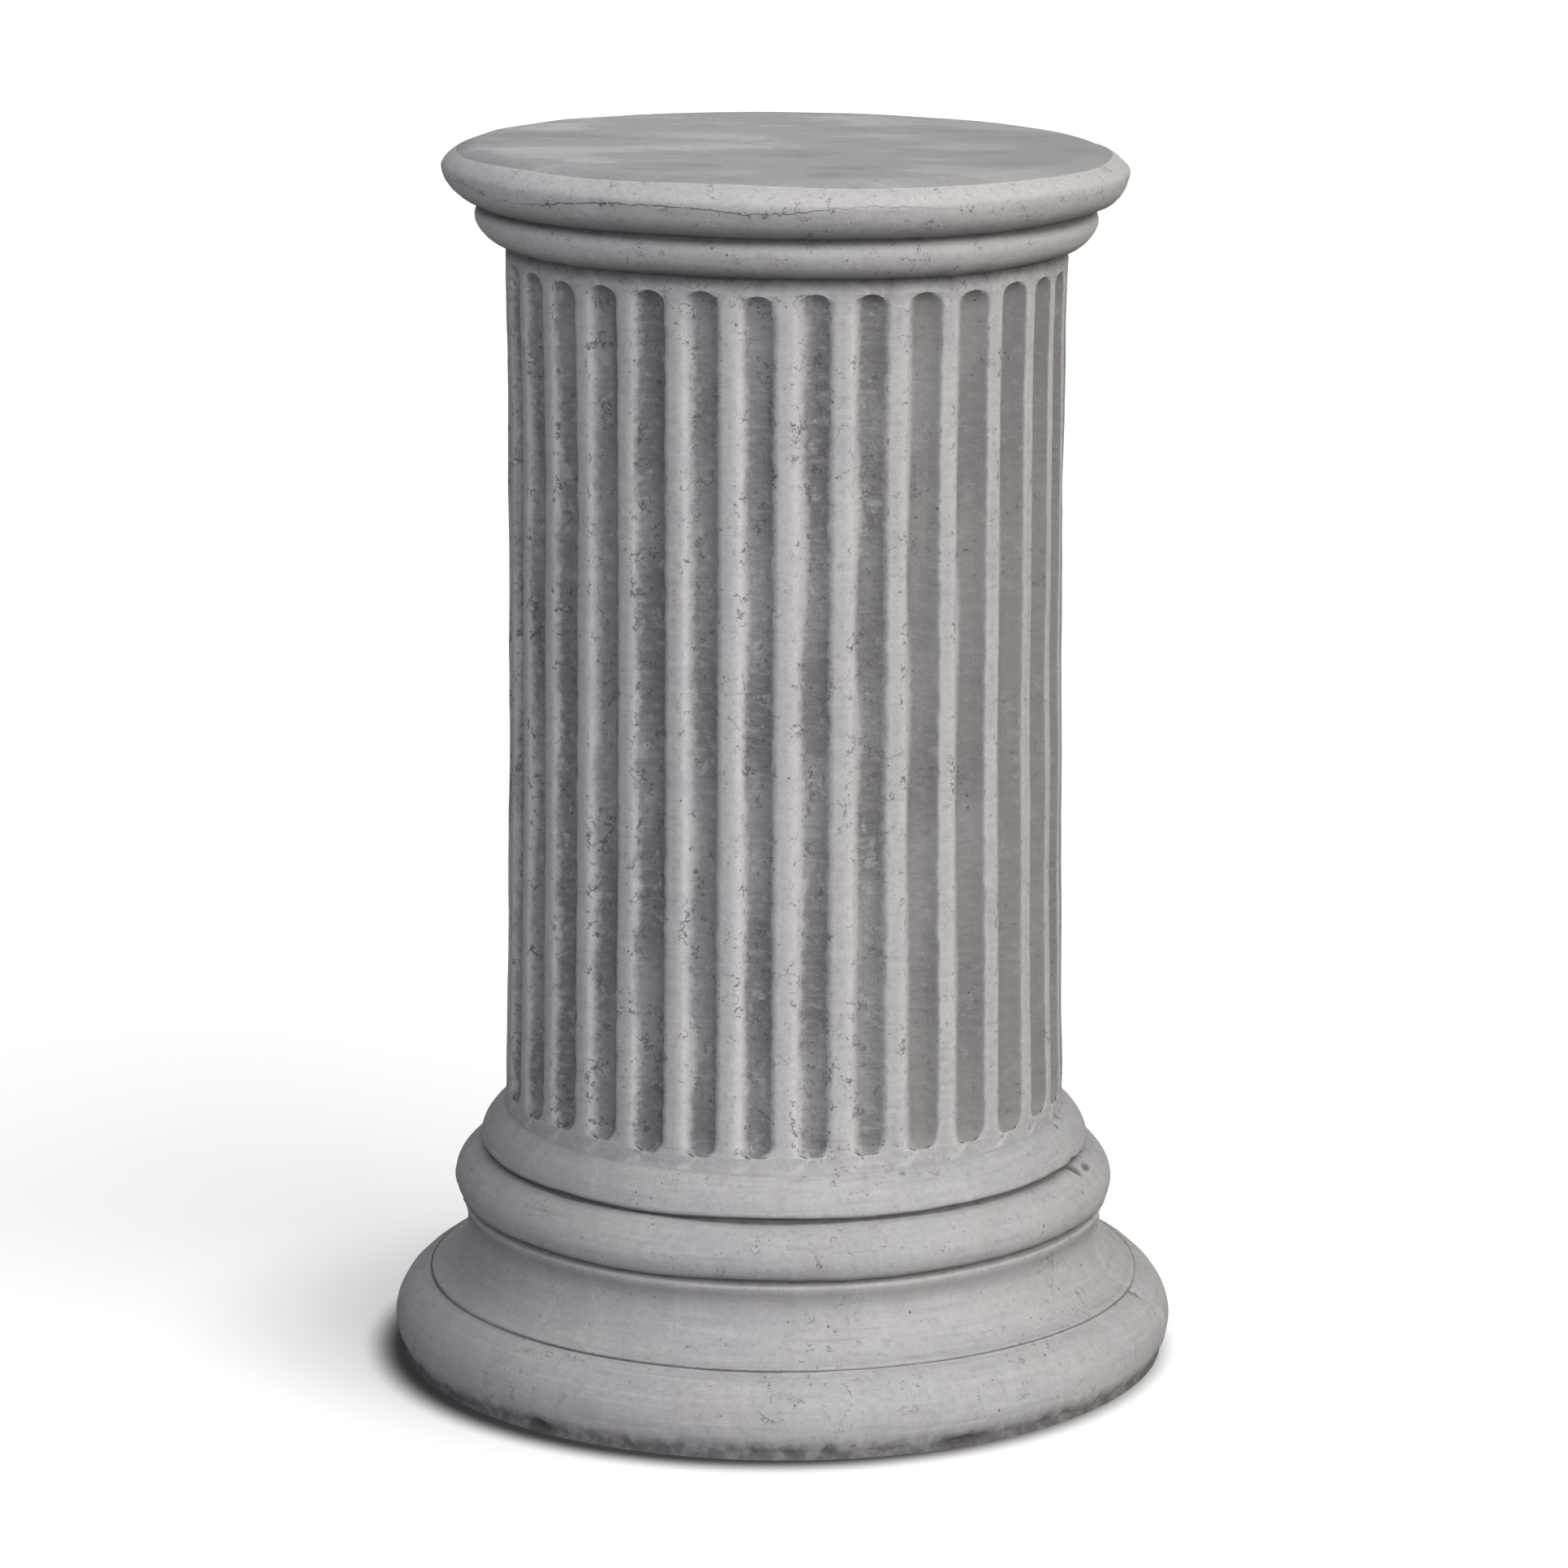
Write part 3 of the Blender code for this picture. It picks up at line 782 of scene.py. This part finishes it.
# group with named value outputs, made by build(graph, where)
def shaderGroup(name, outputs, build):
    tree = bpy.data.node_groups.new(name, "ShaderNodeTree")
    tree.interface.new_socket("Where", in_out="INPUT", socket_type="NodeSocketVector")
    for outputName in outputs:
        tree.interface.new_socket(outputName, in_out="OUTPUT", socket_type="NodeSocketFloat")
    inner = Graph(tree)
    entry = tree.nodes.new("NodeGroupInput")
    leave = tree.nodes.new("NodeGroupOutput")
    for outputName, socket in build(inner, entry.outputs["Where"]).items():
        tree.links.new(socket, leave.inputs[outputName])
    return tree


# an emptied material and the graph to fill it with
def newMaterial(name):
    made = bpy.data.materials.new(name)
    made.use_nodes = True
    made.node_tree.nodes.clear()
    return made, Graph(made.node_tree)


# air holes: size of their cells, the most that are kept, the noise that clusters them and where it starts
# and is full, and the least width of a hole and how much more it may have, as shares of a cell
holeSizes = {
    "Large": (0.0055, 0.42, 0.040, 0.48, 0.66, 0.06, 0.10),
    "Small": (0.0023, 0.26, 0.026, 0.46, 0.64, 0.12, 0.15),
}


# small air holes: round cells of a Voronoi pattern, kept only where a clustering noise is strong
def airHoles(g, where):
    def holes(size, kept, clusterSize, low, high, least, more):
        cell = g.add("ShaderNodeTexVoronoi", {"feature": "F1"}, Vector=where, Scale=1 / size, Randomness=1.0)
        draw = g.add("ShaderNodeSeparateColor", Color=cell.outputs["Color"])
        spread = g.ramp(g.noise(where, clusterSize, 1.0), low, high)
        there = g.math("LESS_THAN", draw.outputs[0], g.times(spread, kept))
        width = g.math("MULTIPLY_ADD", draw.outputs[1], more, least)
        bowl = g.rest(g.math("DIVIDE", cell.outputs["Distance"], width))
        return g.times(g.math("POWER", bowl, 0.6), there)
    return {name: holes(*sizes) for name, sizes in holeSizes.items()}


# cracks: size and octaves of the noise they follow, their width in it, and the noise that breaks them up
crackSizes = {
    "Line": (0.013, 4.0, 0.017, 0.008, 0.53, 0.61),
    "Squiggle": (0.0120, 3.0, 0.026, 0.0090, 0.52, 0.58),
}
crackedAreas = {"size": 0.050, "start": 0.40, "full": 0.62}


# hairline cracks: short stretches of a fractal noise's level lines, and shorter ones beside the flutes
def hairCracks(g, where):
    def levelLine(size, detail, width, placeSize, least, most):
        off = g.math("ABSOLUTE", g.math("SUBTRACT", g.noise(where, size, detail, 0.62), 0.5))
        place = g.ramp(g.noise(where, placeSize, 2.0), least, most)
        return g.times(g.ramp(off, 0.0, width, 1.0, 0.0), place)
    area = g.ramp(g.noise(where, crackedAreas["size"], 1.0), crackedAreas["start"], crackedAreas["full"])
    line, squiggle = (levelLine(*sizes) for sizes in crackSizes.values())
    return {"Line": g.times(line, area), "Squiggle": squiggle}


stone = {
    "land": (0.418, 0.411, 0.411, 1), "landWarm": (0.382, 0.366, 0.354, 1),
    "landCool": (0.378, 0.371, 0.388, 1), "pale": (0.520, 0.514, 0.510, 1),
    # litFront is the colour of the painted light on the front lands
    "litFront": (0.450, 0.443, 0.446, 1), "capPale": (0.480, 0.471, 0.466, 1),
    # dark colours for real stains and dirt, also used as painted shade in quirks, chips, undersides and foot
    "darkStainAndShade": (0.216, 0.210, 0.219, 1), "stainedDeep": (0.143, 0.137, 0.142, 1),
    "stainedWarm": (0.204, 0.197, 0.185, 1), "cement": (0.312, 0.310, 0.314, 1),
    "hole": (0.072, 0.068, 0.066, 1), "dirtAndShade": (0.062, 0.057, 0.054, 1),
    "topGrey": (0.362, 0.364, 0.373, 1), "topPale": (0.476, 0.480, 0.491, 1),
    "topDark": (0.275, 0.277, 0.288, 1),
}

# noise patterns: coarsest blob in metres, octaves, roughness and stretch. The second set runs along the skin,
# drips up and down it, trowel marks and ripples round it
solidPatterns = {
    "broad": (0.090, 2.0), "cloud": (0.022, 4.0, 0.62), "crust": (0.0075, 5.0, 0.66),
    "speck": (0.0032, 3.0, 0.65), "grain": (0.0009, 2.0, 0.7), "smear": (0.075, 4.0, 0.62, (0.6, 1.2, 1.0)),
}
skinPatterns = {
    "drips": (0.008, 4.0, 0.62, (1.0, 0.16, 1.0)), "trowel": (0.0035, 3.0, 0.6, (0.07, 1.0, 1.0)),
    "ripple": (0.0060, 4.0, 0.66, (0.45, 1.5, 1.0)),
}

# layers of colour: the pattern they follow, where it starts and is full, their most share and their colour
skinLayers = [
    ("cloud", 0.48, 0.74, 0.75, "landWarm"), ("crust", 0.54, 0.74, 0.36, "pale"),
    ("drips", 0.52, 0.72, 0.30, "pale"), ("trowel", 0.50, 0.70, 0.34, "pale"),
    ("trowel", 0.44, 0.28, 0.30, "darkStainAndShade"), ("crust", 0.44, 0.26, 0.40, "darkStainAndShade"),
]
topLayers = [
    ("smear", 0.46, 0.36, 0.8, "topDark"), ("crust", 0.55, 0.75, 0.3, "topPale"),
    ("coatGap", 0.014, 0.001, 0.50, "topDark"), ("sideways", -0.03, 0.15, 0.45, "topDark"),
]
lastLayers = [("speck", 0.60, 0.30, 0.22, "darkStainAndShade"), ("grain", 0.30, 0.70, 0.14, "darkStainAndShade")]

# colours laid over the sandy skin by the casting's own masks, and their most share: painted light on the
# front lands, and the paler cap
capMasks = [("litFront", 0.70, "litFront"), ("onCap", 0.88, "capPale")]
# painted shade on the base's sides, under the hollow's lip and under the mouldings
paintedShadeLayers = [("baseSideShade", 0.38, "darkStainAndShade"), ("underLip", 0.62, "darkStainAndShade"), ("underside", 0.55, "dirtAndShade")]

# ramps by which patterns and masks are read: where each starts and ends, and what it gives there if that
# isn't 0 and 1. Those on coatGap, pourGap, sideways, away and rise are in metres
ramps = {
    "warmLand": (0.38, 0.62), "litCapLeft": (-0.06, -0.14, 0, 0.85),
    "onTop": (-0.0003, 0.0004), "coatRim": (0.0, 0.0010, 0.45, 0.0), "paleTop": (0.49, 0.59),
    "rougher": (0, 1, 1.0, 0.40), "raggedStain": (0.05, 0.85), "inStain": (0.02, 0.25),
    "deepStain": (0.15, 0.85), "warmStain": (0.42, 0.58, 0.85, 0.35),
    "cementCrust": (0.51, 0.65), "cementCloud": (0.42, 0.60, 0.10, 0.95),
    "paleRipple": (0.50, 0.72, 0, 0.55), "darkRipple": (0.46, 0.28, 0, 0.38),
    "edgeCloud": (0.35, 0.55, 0.45, 0.95),
    "pourLine": (0.0, 0.00060, 1.0, 0.0), "pourSpeck": (0.34, 0.50), "pourNear": (0.0035, 0.0010),
    "underPour": (0.0005, -0.0025), "underPourCrust": (0.30, 0.62, 0.0, 0.18),
    "farSide": (0.120, 0.155), "rimHeight": (0.585, 0.600),
    "inQuirk": (0.0, 1.0, 0.92, 0.0), "quirkCrust": (0.25, 0.60, 1.0, 0.78), "inChip": (0.25, 0.80, 0, 0.80),
    "footDirtAndShade": (0.014, 0.0010), "footCrust": (0.60, 0.42, 0.22, 0.72), "footShadeLine": (0.0060, 0.0005, 0, 0.55),
    "besideFlute": (0.15, 0.60, 0.10, 1.0), "roughness": (0.3, 0.7, 0.80, 0.92),
}

rimOutside = 0.0006                          # the coat's pale edge lies this far outside it

# how far the edges of coat, pour line and stain are shaken by a pattern, and the most share of single marks
shaken = {"coat": 0.0014, "pour": 0.0050, "crust": 1.25, "speck": 0.80, "drips": 0.50, "darkness": 1.2}
mostShare = {"flute": 0.96, "farRim": 0.75, "pourLine": 0.6, "nearPour": 0.9, "cracks": 0.82, "holes": 0.75}

# how far each pattern stands up, in metres
relief = {
    "cloud": 0.0007, "crust": 0.00025, "crustInFlutes": 0.0008, "rippleInFlutes": 0.0006,
    "trowel": 0.00014, "drips": 0.00020, "speck": 0.00018, "grain": 0.00006,
    "Large": -0.0005, "Small": -0.000225, "pourMark": -0.0004, "onTop": 0.00025,
}


# every pattern and mask that the stone's colour and relief read, by name
def stonePatterns(g):
    where = g.add("ShaderNodeTexCoord").outputs["Object"]
    skin = g.add("ShaderNodeUVMap", {"uv_map": "skin"}).outputs["UV"]
    place = g.add("ShaderNodeSeparateXYZ", Vector=where)
    p = {"sideways": place.outputs["X"], "away": place.outputs["Y"], "rise": place.outputs["Z"]}
    for name, shape in solidPatterns.items():
        p[name] = g.noise(where, *shape)
    for name, shape in skinPatterns.items():
        p[name] = g.noise(skin, *shape)
    groups = (("airHoles", holeSizes, airHoles), ("hairCracks", crackSizes, hairCracks))
    for groupName, outputs, build in groups:
        group = g.add("ShaderNodeGroup", {"node_tree": shaderGroup(groupName, outputs, build)}, Where=where)
        for output in outputs:
            p[output] = group.outputs[output]
    for mask in ("stainAndEndShade", "edgeWearAndHighlight", "fluteDepth", "quirkGap", "chipped", "pourLine", "pourGap", "onShaft",
                 "coatGap", "deeper", "onCap", "onRim", "litFront", "baseSideShade", "smoothFlute", "underside",
                 "underLip"):
        p[mask] = g.attribute(mask)

    # the coat's edge wanders with the crust, and so does the pour line, which the specks break up
    p["coatGap"] = g.shaken(p["coatGap"], p["crust"], shaken["coat"])
    p["onTop"] = g.ramp(p["coatGap"], *ramps["onTop"])
    p["uncoated"] = g.rest(p["onTop"])
    pourGap = g.math("ABSOLUTE", g.shaken(p["pourGap"], p["crust"], shaken["pour"]))
    pourMark = g.times(g.ramp(pourGap, *ramps["pourLine"]), p["pourLine"])
    p["pourMark"] = g.times(pourMark, g.ramp(p["speck"], *ramps["pourSpeck"]))

    # the stain's edge is broken up by crust, specks and drips, and less so in the smooth flutes at the right
    p["rougher"] = g.ramp(p["smoothFlute"], *ramps["rougher"])
    ragged = g.shaken(p["stainAndEndShade"], p["crust"], g.times(p["rougher"], shaken["crust"]))
    ragged = g.shaken(ragged, p["speck"], g.times(p["rougher"], shaken["speck"]))
    ragged = g.shaken(ragged, p["drips"], shaken["drips"])
    p["darkFlute"] = g.times(g.ramp(ragged, *ramps["raggedStain"]), g.ramp(p["stainAndEndShade"], *ramps["inStain"]))
    return p


# the sandy skin of the lands and mouldings: patterns first, then painted light on the front lands and the
# cap's left, the paler cap, and painted shade on the base's sides, under its lip and under the mouldings
def sandySkin(g, p):
    colour = g.mixColour(g.ramp(p["broad"], *ramps["warmLand"]), stone["landCool"], stone["land"])
    colour = g.layers(colour, p, skinLayers)
    for mask, share, over in capMasks:
        colour = g.mixColour(g.times(p[mask], share), colour, stone[over])
    # painted light: the cap's left side is painted paler
    litCapLeft = g.times(p["onCap"], g.ramp(p["sideways"], *ramps["litCapLeft"]))
    colour = g.mixColour(litCapLeft, colour, stone["pale"])
    for mask, share, over in paintedShadeLayers:
        colour = g.mixColour(g.times(p[mask], share), colour, stone[over])
    return colour


# dark flutes: streaks run down in them, cement and ripples show, and the lands' edges stay pale, from wear
# and a painted highlight
def darkFlutes(g, p, under):
    darkness = g.shaken(p["deeper"], p["drips"], shaken["darkness"])
    colour = g.mixColour(g.ramp(darkness, *ramps["deepStain"]), stone["darkStainAndShade"], stone["stainedDeep"])
    warmer = g.times(p["smoothFlute"], g.ramp(p["broad"], *ramps["warmStain"]))
    colour = g.mixColour(warmer, colour, stone["stainedWarm"])
    crusted = g.times(g.ramp(p["crust"], *ramps["cementCrust"]), g.ramp(p["cloud"], *ramps["cementCloud"]))
    paleRipple = g.ramp(p["ripple"], *ramps["paleRipple"])
    darkRipple = g.ramp(p["ripple"], *ramps["darkRipple"])
    for pattern, over in ((crusted, "cement"), (paleRipple, "cement"), (darkRipple, "dirtAndShade")):
        colour = g.mixColour(g.times(pattern, p["rougher"]), colour, stone[over])
    colour = g.mixColour(g.times(p["darkFlute"], mostShare["flute"]), under, colour)
    # the pale edges: wear and painted highlight
    edgePale = g.times(p["edgeWearAndHighlight"], g.rest(p["darkFlute"]))
    edgePale = g.times(edgePale, g.ramp(p["cloud"], *ramps["edgeCloud"]))
    return g.mixColour(edgePale, colour, stone["pale"])


# the top: greyer, smeared by the float, with a thin pale edge
def topCoat(g, p, under):
    colour = g.mixColour(g.ramp(p["smear"], *ramps["paleTop"]), stone["topGrey"], stone["topPale"])
    colour = g.mixColour(p["onTop"], under, g.layers(colour, p, topLayers))
    rim = g.ramp(g.math("ABSOLUTE", g.math("ADD", p["coatGap"], rimOutside)), *ramps["coatRim"])
    return g.mixColour(rim, colour, stone["pale"])


# the slab's rim: rougher and darker under the pour line, and painted shade on its far side
def slabRim(g, p, under):
    underPour = g.times(g.ramp(p["pourGap"], *ramps["underPour"]), p["onRim"])
    underPour = g.times(underPour, g.ramp(p["crust"], *ramps["underPourCrust"]))
    colour = g.mixColour(underPour, under, stone["darkStainAndShade"])
    # painted shade on the far side of the rim
    farRim = g.times(g.ramp(p["away"], *ramps["farSide"]), g.ramp(p["rise"], *ramps["rimHeight"]))
    farRim = g.times(farRim, g.rest(p["onTop"], mostShare["farRim"]))
    return g.mixColour(farRim, colour, stone["darkStainAndShade"])


# dirt and painted shade in the quirks, deep chips and along the broken foot, dirt in the pour line and
# cracks, then the holes
def dirtShadeAndHoles(g, p, colour):
    # dirt and painted shade in the quirks
    inQuirks = g.times(g.ramp(p["quirkGap"], *ramps["inQuirk"]), g.ramp(p["crust"], *ramps["quirkCrust"]))
    # dirt and painted shade inside the deep chips
    inChips = g.ramp(p["chipped"], *ramps["inChip"])
    inPourLine = g.times(p["pourMark"], mostShare["pourLine"])
    # dirt and painted shade on the lowest rows of the foot, and a line of painted shade along the ground
    onFoot = g.times(g.ramp(p["rise"], *ramps["footDirtAndShade"]), g.ramp(p["crust"], *ramps["footCrust"]))
    alongFoot = g.ramp(p["rise"], *ramps["footShadeLine"])
    for dirty in (inQuirks, inChips, inPourLine, onFoot, alongFoot):
        colour = g.mixColour(dirty, colour, stone["dirtAndShade"])

    # short cracks lie beside the flutes and near the pour line, long ones anywhere but on the top
    fluteOrEdge = g.math("ADD", p["edgeWearAndHighlight"], p["darkFlute"])
    besideFlute = g.times(p["onShaft"], g.ramp(fluteOrEdge, *ramps["besideFlute"]))
    smoothShare = g.times(p["smoothFlute"], p["darkFlute"])
    besideFlute = g.times(besideFlute, g.math("SUBTRACT", 1.0, smoothShare))
    pourNear = g.times(g.ramp(g.math("ABSOLUTE", p["pourGap"]), *ramps["pourNear"]), mostShare["nearPour"])
    squiggle = g.times(p["Squiggle"], g.math("MAXIMUM", besideFlute, pourNear))
    cracks = g.math("MAXIMUM", g.times(p["Line"], p["uncoated"]), squiggle)
    colour = g.mixColour(g.times(cracks, mostShare["cracks"]), colour, stone["dirtAndShade"])
    holes = g.math("MINIMUM", g.math("MAXIMUM", p["Large"], p["Small"]), mostShare["holes"])
    colour = g.mixColour(holes, colour, stone["hole"])
    return g.layers(colour, p, lastLayers)


# relief: the sum of the patterns' heights, of which crust and ripples stand higher in the flutes, and the
# top's coat has no drips or trowel marks
def stoneRelief(g, p):
    inFlutes = g.math("MULTIPLY_ADD", p["fluteDepth"], relief["crustInFlutes"], relief["crust"])
    height = g.times(p["cloud"], relief["cloud"])
    height = g.math("MULTIPLY_ADD", p["crust"], inFlutes, height)
    for pattern, mask, strength in (("ripple", "fluteDepth", relief["rippleInFlutes"]),
                                    ("trowel", "uncoated", relief["trowel"]),
                                    ("drips", "uncoated", relief["drips"])):
        height = g.math("MULTIPLY_ADD", p[pattern], g.times(p[mask], strength), height)
    for pattern in ("speck", "grain", "Large", "Small", "pourMark", "onTop"):
        height = g.math("MULTIPLY_ADD", p[pattern], relief[pattern], height)
    return g.add("ShaderNodeBump", Height=height, Strength=1.0, Distance=1.0).outputs["Normal"]


def castStone():
    made, g = newMaterial("castStone")
    p = stonePatterns(g)
    colour = darkFlutes(g, p, sandySkin(g, p))
    colour = slabRim(g, p, topCoat(g, p, colour))
    surface = g.add("ShaderNodeBsdfPrincipled", Base_Color=dirtShadeAndHoles(g, p, colour),
                    Roughness=g.ramp(p["speck"], *ramps["roughness"]),
                    Normal=stoneRelief(g, p), Specular_IOR_Level=0.25)
    g.add("ShaderNodeOutputMaterial", Surface=surface.outputs["BSDF"])
    return made


casting.data.materials.append(castStone())
print("cast stone material ready")


# studio: pale floor, a high soft light and a low warm one from the right, and weaker ones from the front,
# the left and behind
studio = {
    "floorColour": (0.52, 0.52, 0.52, 1), "floorGlow": 0.58, "floorBounce": (0.28, 0.275, 0.28, 1),
    "floorReach": 40.0, "backdrop": (1.0, 1.0, 1.0, 1),
    "ambient": (1.0, 0.85, 0.85, 1), "ambientStrength": 0.05,
    # azimuth, elevation, width of the light as an angle, strength, colour
    "lights": {
        "key": (50.0, 37.0, 50.0, 2.30, (0.99, 0.995, 0.93)),
        "low": (53.0, 8.0, 60.0, 1.18, (1.0, 0.933, 0.848)),
        "front": (-5.0, 19.0, 80.0, 1.54, (0.880, 0.875, 1.0)),
        "left": (-40.0, 35.0, 45.0, 0.60, (0.93, 0.93, 1.0)),
        "behind": (180.0, 35.0, 50.0, 0.86, (1.0, 0.956, 0.985)),
    },
    "lampDistance": 3.0,
    # the shade that hugs the foot and the wider one left of it: its middle, the radii at which it is full
    # and ends, and the share of the light that is left where it is full
    "shades": (((-0.007, -0.006, 0.0), 0.1880, 0.2090, 0.06), ((-0.100, 0.010, 0.0), 0.085, 0.240, 0.72)),
    "lens": 129.76, "sensor": 36.0, "cameraAway": 2.76468, "cameraHeight": 0.90748,
    "pitch": 12.6101, "roll": 0.149,
}


# direction from the object towards a light
def towardsLight(azimuth, elevation):
    turn, rise = math.radians(azimuth), math.radians(elevation)
    return Vector((math.sin(turn) * math.cos(rise), -math.cos(turn) * math.cos(rise), math.sin(rise)))


# the floor looks pale to the camera, and throws less light back up at the object
def floorMaterial():
    made, g = newMaterial("paleFloor")
    seen = g.add("ShaderNodeLightPath").outputs["Is Camera Ray"]
    where = g.add("ShaderNodeTexCoord").outputs["Object"]
    light = 1.0
    for middle, full, end, left in studio["shades"]:
        away = g.add("ShaderNodeVectorMath", {"operation": "DISTANCE"}, i0=where, i1=middle).outputs["Value"]
        light = g.times(g.ramp(away, full, end, left, 1.0), light)
    shaded = g.mixColour(light, (0.0, 0.0, 0.0, 1), studio["floorColour"])
    surface = g.add("ShaderNodeBsdfPrincipled", Roughness=1.0, Specular_IOR_Level=0.0,
                    Base_Color=g.mixColour(seen, studio["floorBounce"], shaded), Emission_Color=(1, 1, 1, 1),
                    Emission_Strength=g.times(seen, light, studio["floorGlow"]))
    g.add("ShaderNodeOutputMaterial", Surface=surface.outputs["BSDF"])
    return made


def paleFloor():
    reach = studio["floorReach"]
    corners = [(-reach, -reach, 0), (reach, -reach, 0), (reach, reach, 0), (-reach, reach, 0)]
    mesh = bpy.data.meshes.new("floor")
    mesh.from_pydata(corners, [], [(0, 1, 2, 3)])
    mesh.materials.append(floorMaterial())
    made = bpy.data.objects.new("floor", mesh)
    bpy.context.collection.objects.link(made)
    return made


def sunLight(name, azimuth, elevation, width, strength, colour):
    light = bpy.data.lights.new(name, "SUN")
    light.angle, light.energy, light.color = math.radians(width), strength, colour
    lamp = bpy.data.objects.new(name, light)
    lamp.location = towardsLight(azimuth, elevation) * studio["lampDistance"]
    lamp.rotation_euler = towardsLight(azimuth, elevation).to_track_quat("Z", "Y").to_euler()
    bpy.context.collection.objects.link(lamp)


# plain white to the camera, and a faint even light to everything else
def studioWorld():
    world = bpy.data.worlds.new("studio")
    world.use_nodes = True
    world.node_tree.nodes.clear()
    g = Graph(world.node_tree)
    seen = g.add("ShaderNodeLightPath").outputs["Is Camera Ray"]
    glow = g.add("ShaderNodeBackground", Color=g.mixColour(seen, studio["ambient"], studio["backdrop"]),
                 Strength=g.ramp(seen, 0, 1, studio["ambientStrength"], 1.0, smooth=False))
    g.add("ShaderNodeOutputWorld", Surface=glow.outputs["Background"])
    return world


def studioCamera():
    data = bpy.data.cameras.new("camera")
    data.lens, data.sensor_width = studio["lens"], studio["sensor"]
    made = bpy.data.objects.new("camera", data)
    made.location = (0, -studio["cameraAway"], studio["cameraHeight"])
    tipped = Matrix.Rotation(math.radians(90 - studio["pitch"]), 3, "X")
    made.rotation_euler = (tipped @ Matrix.Rotation(math.radians(studio["roll"]), 3, "Z")).to_euler()
    bpy.context.collection.objects.link(made)
    return made


paleFloor()
for lightName, settings in studio["lights"].items():
    sunLight(lightName, *settings)
bpy.context.scene.world = studioWorld()
bpy.context.scene.camera = studioCamera()
bpy.context.scene.view_settings.view_transform = "Standard"
print("studio ready")
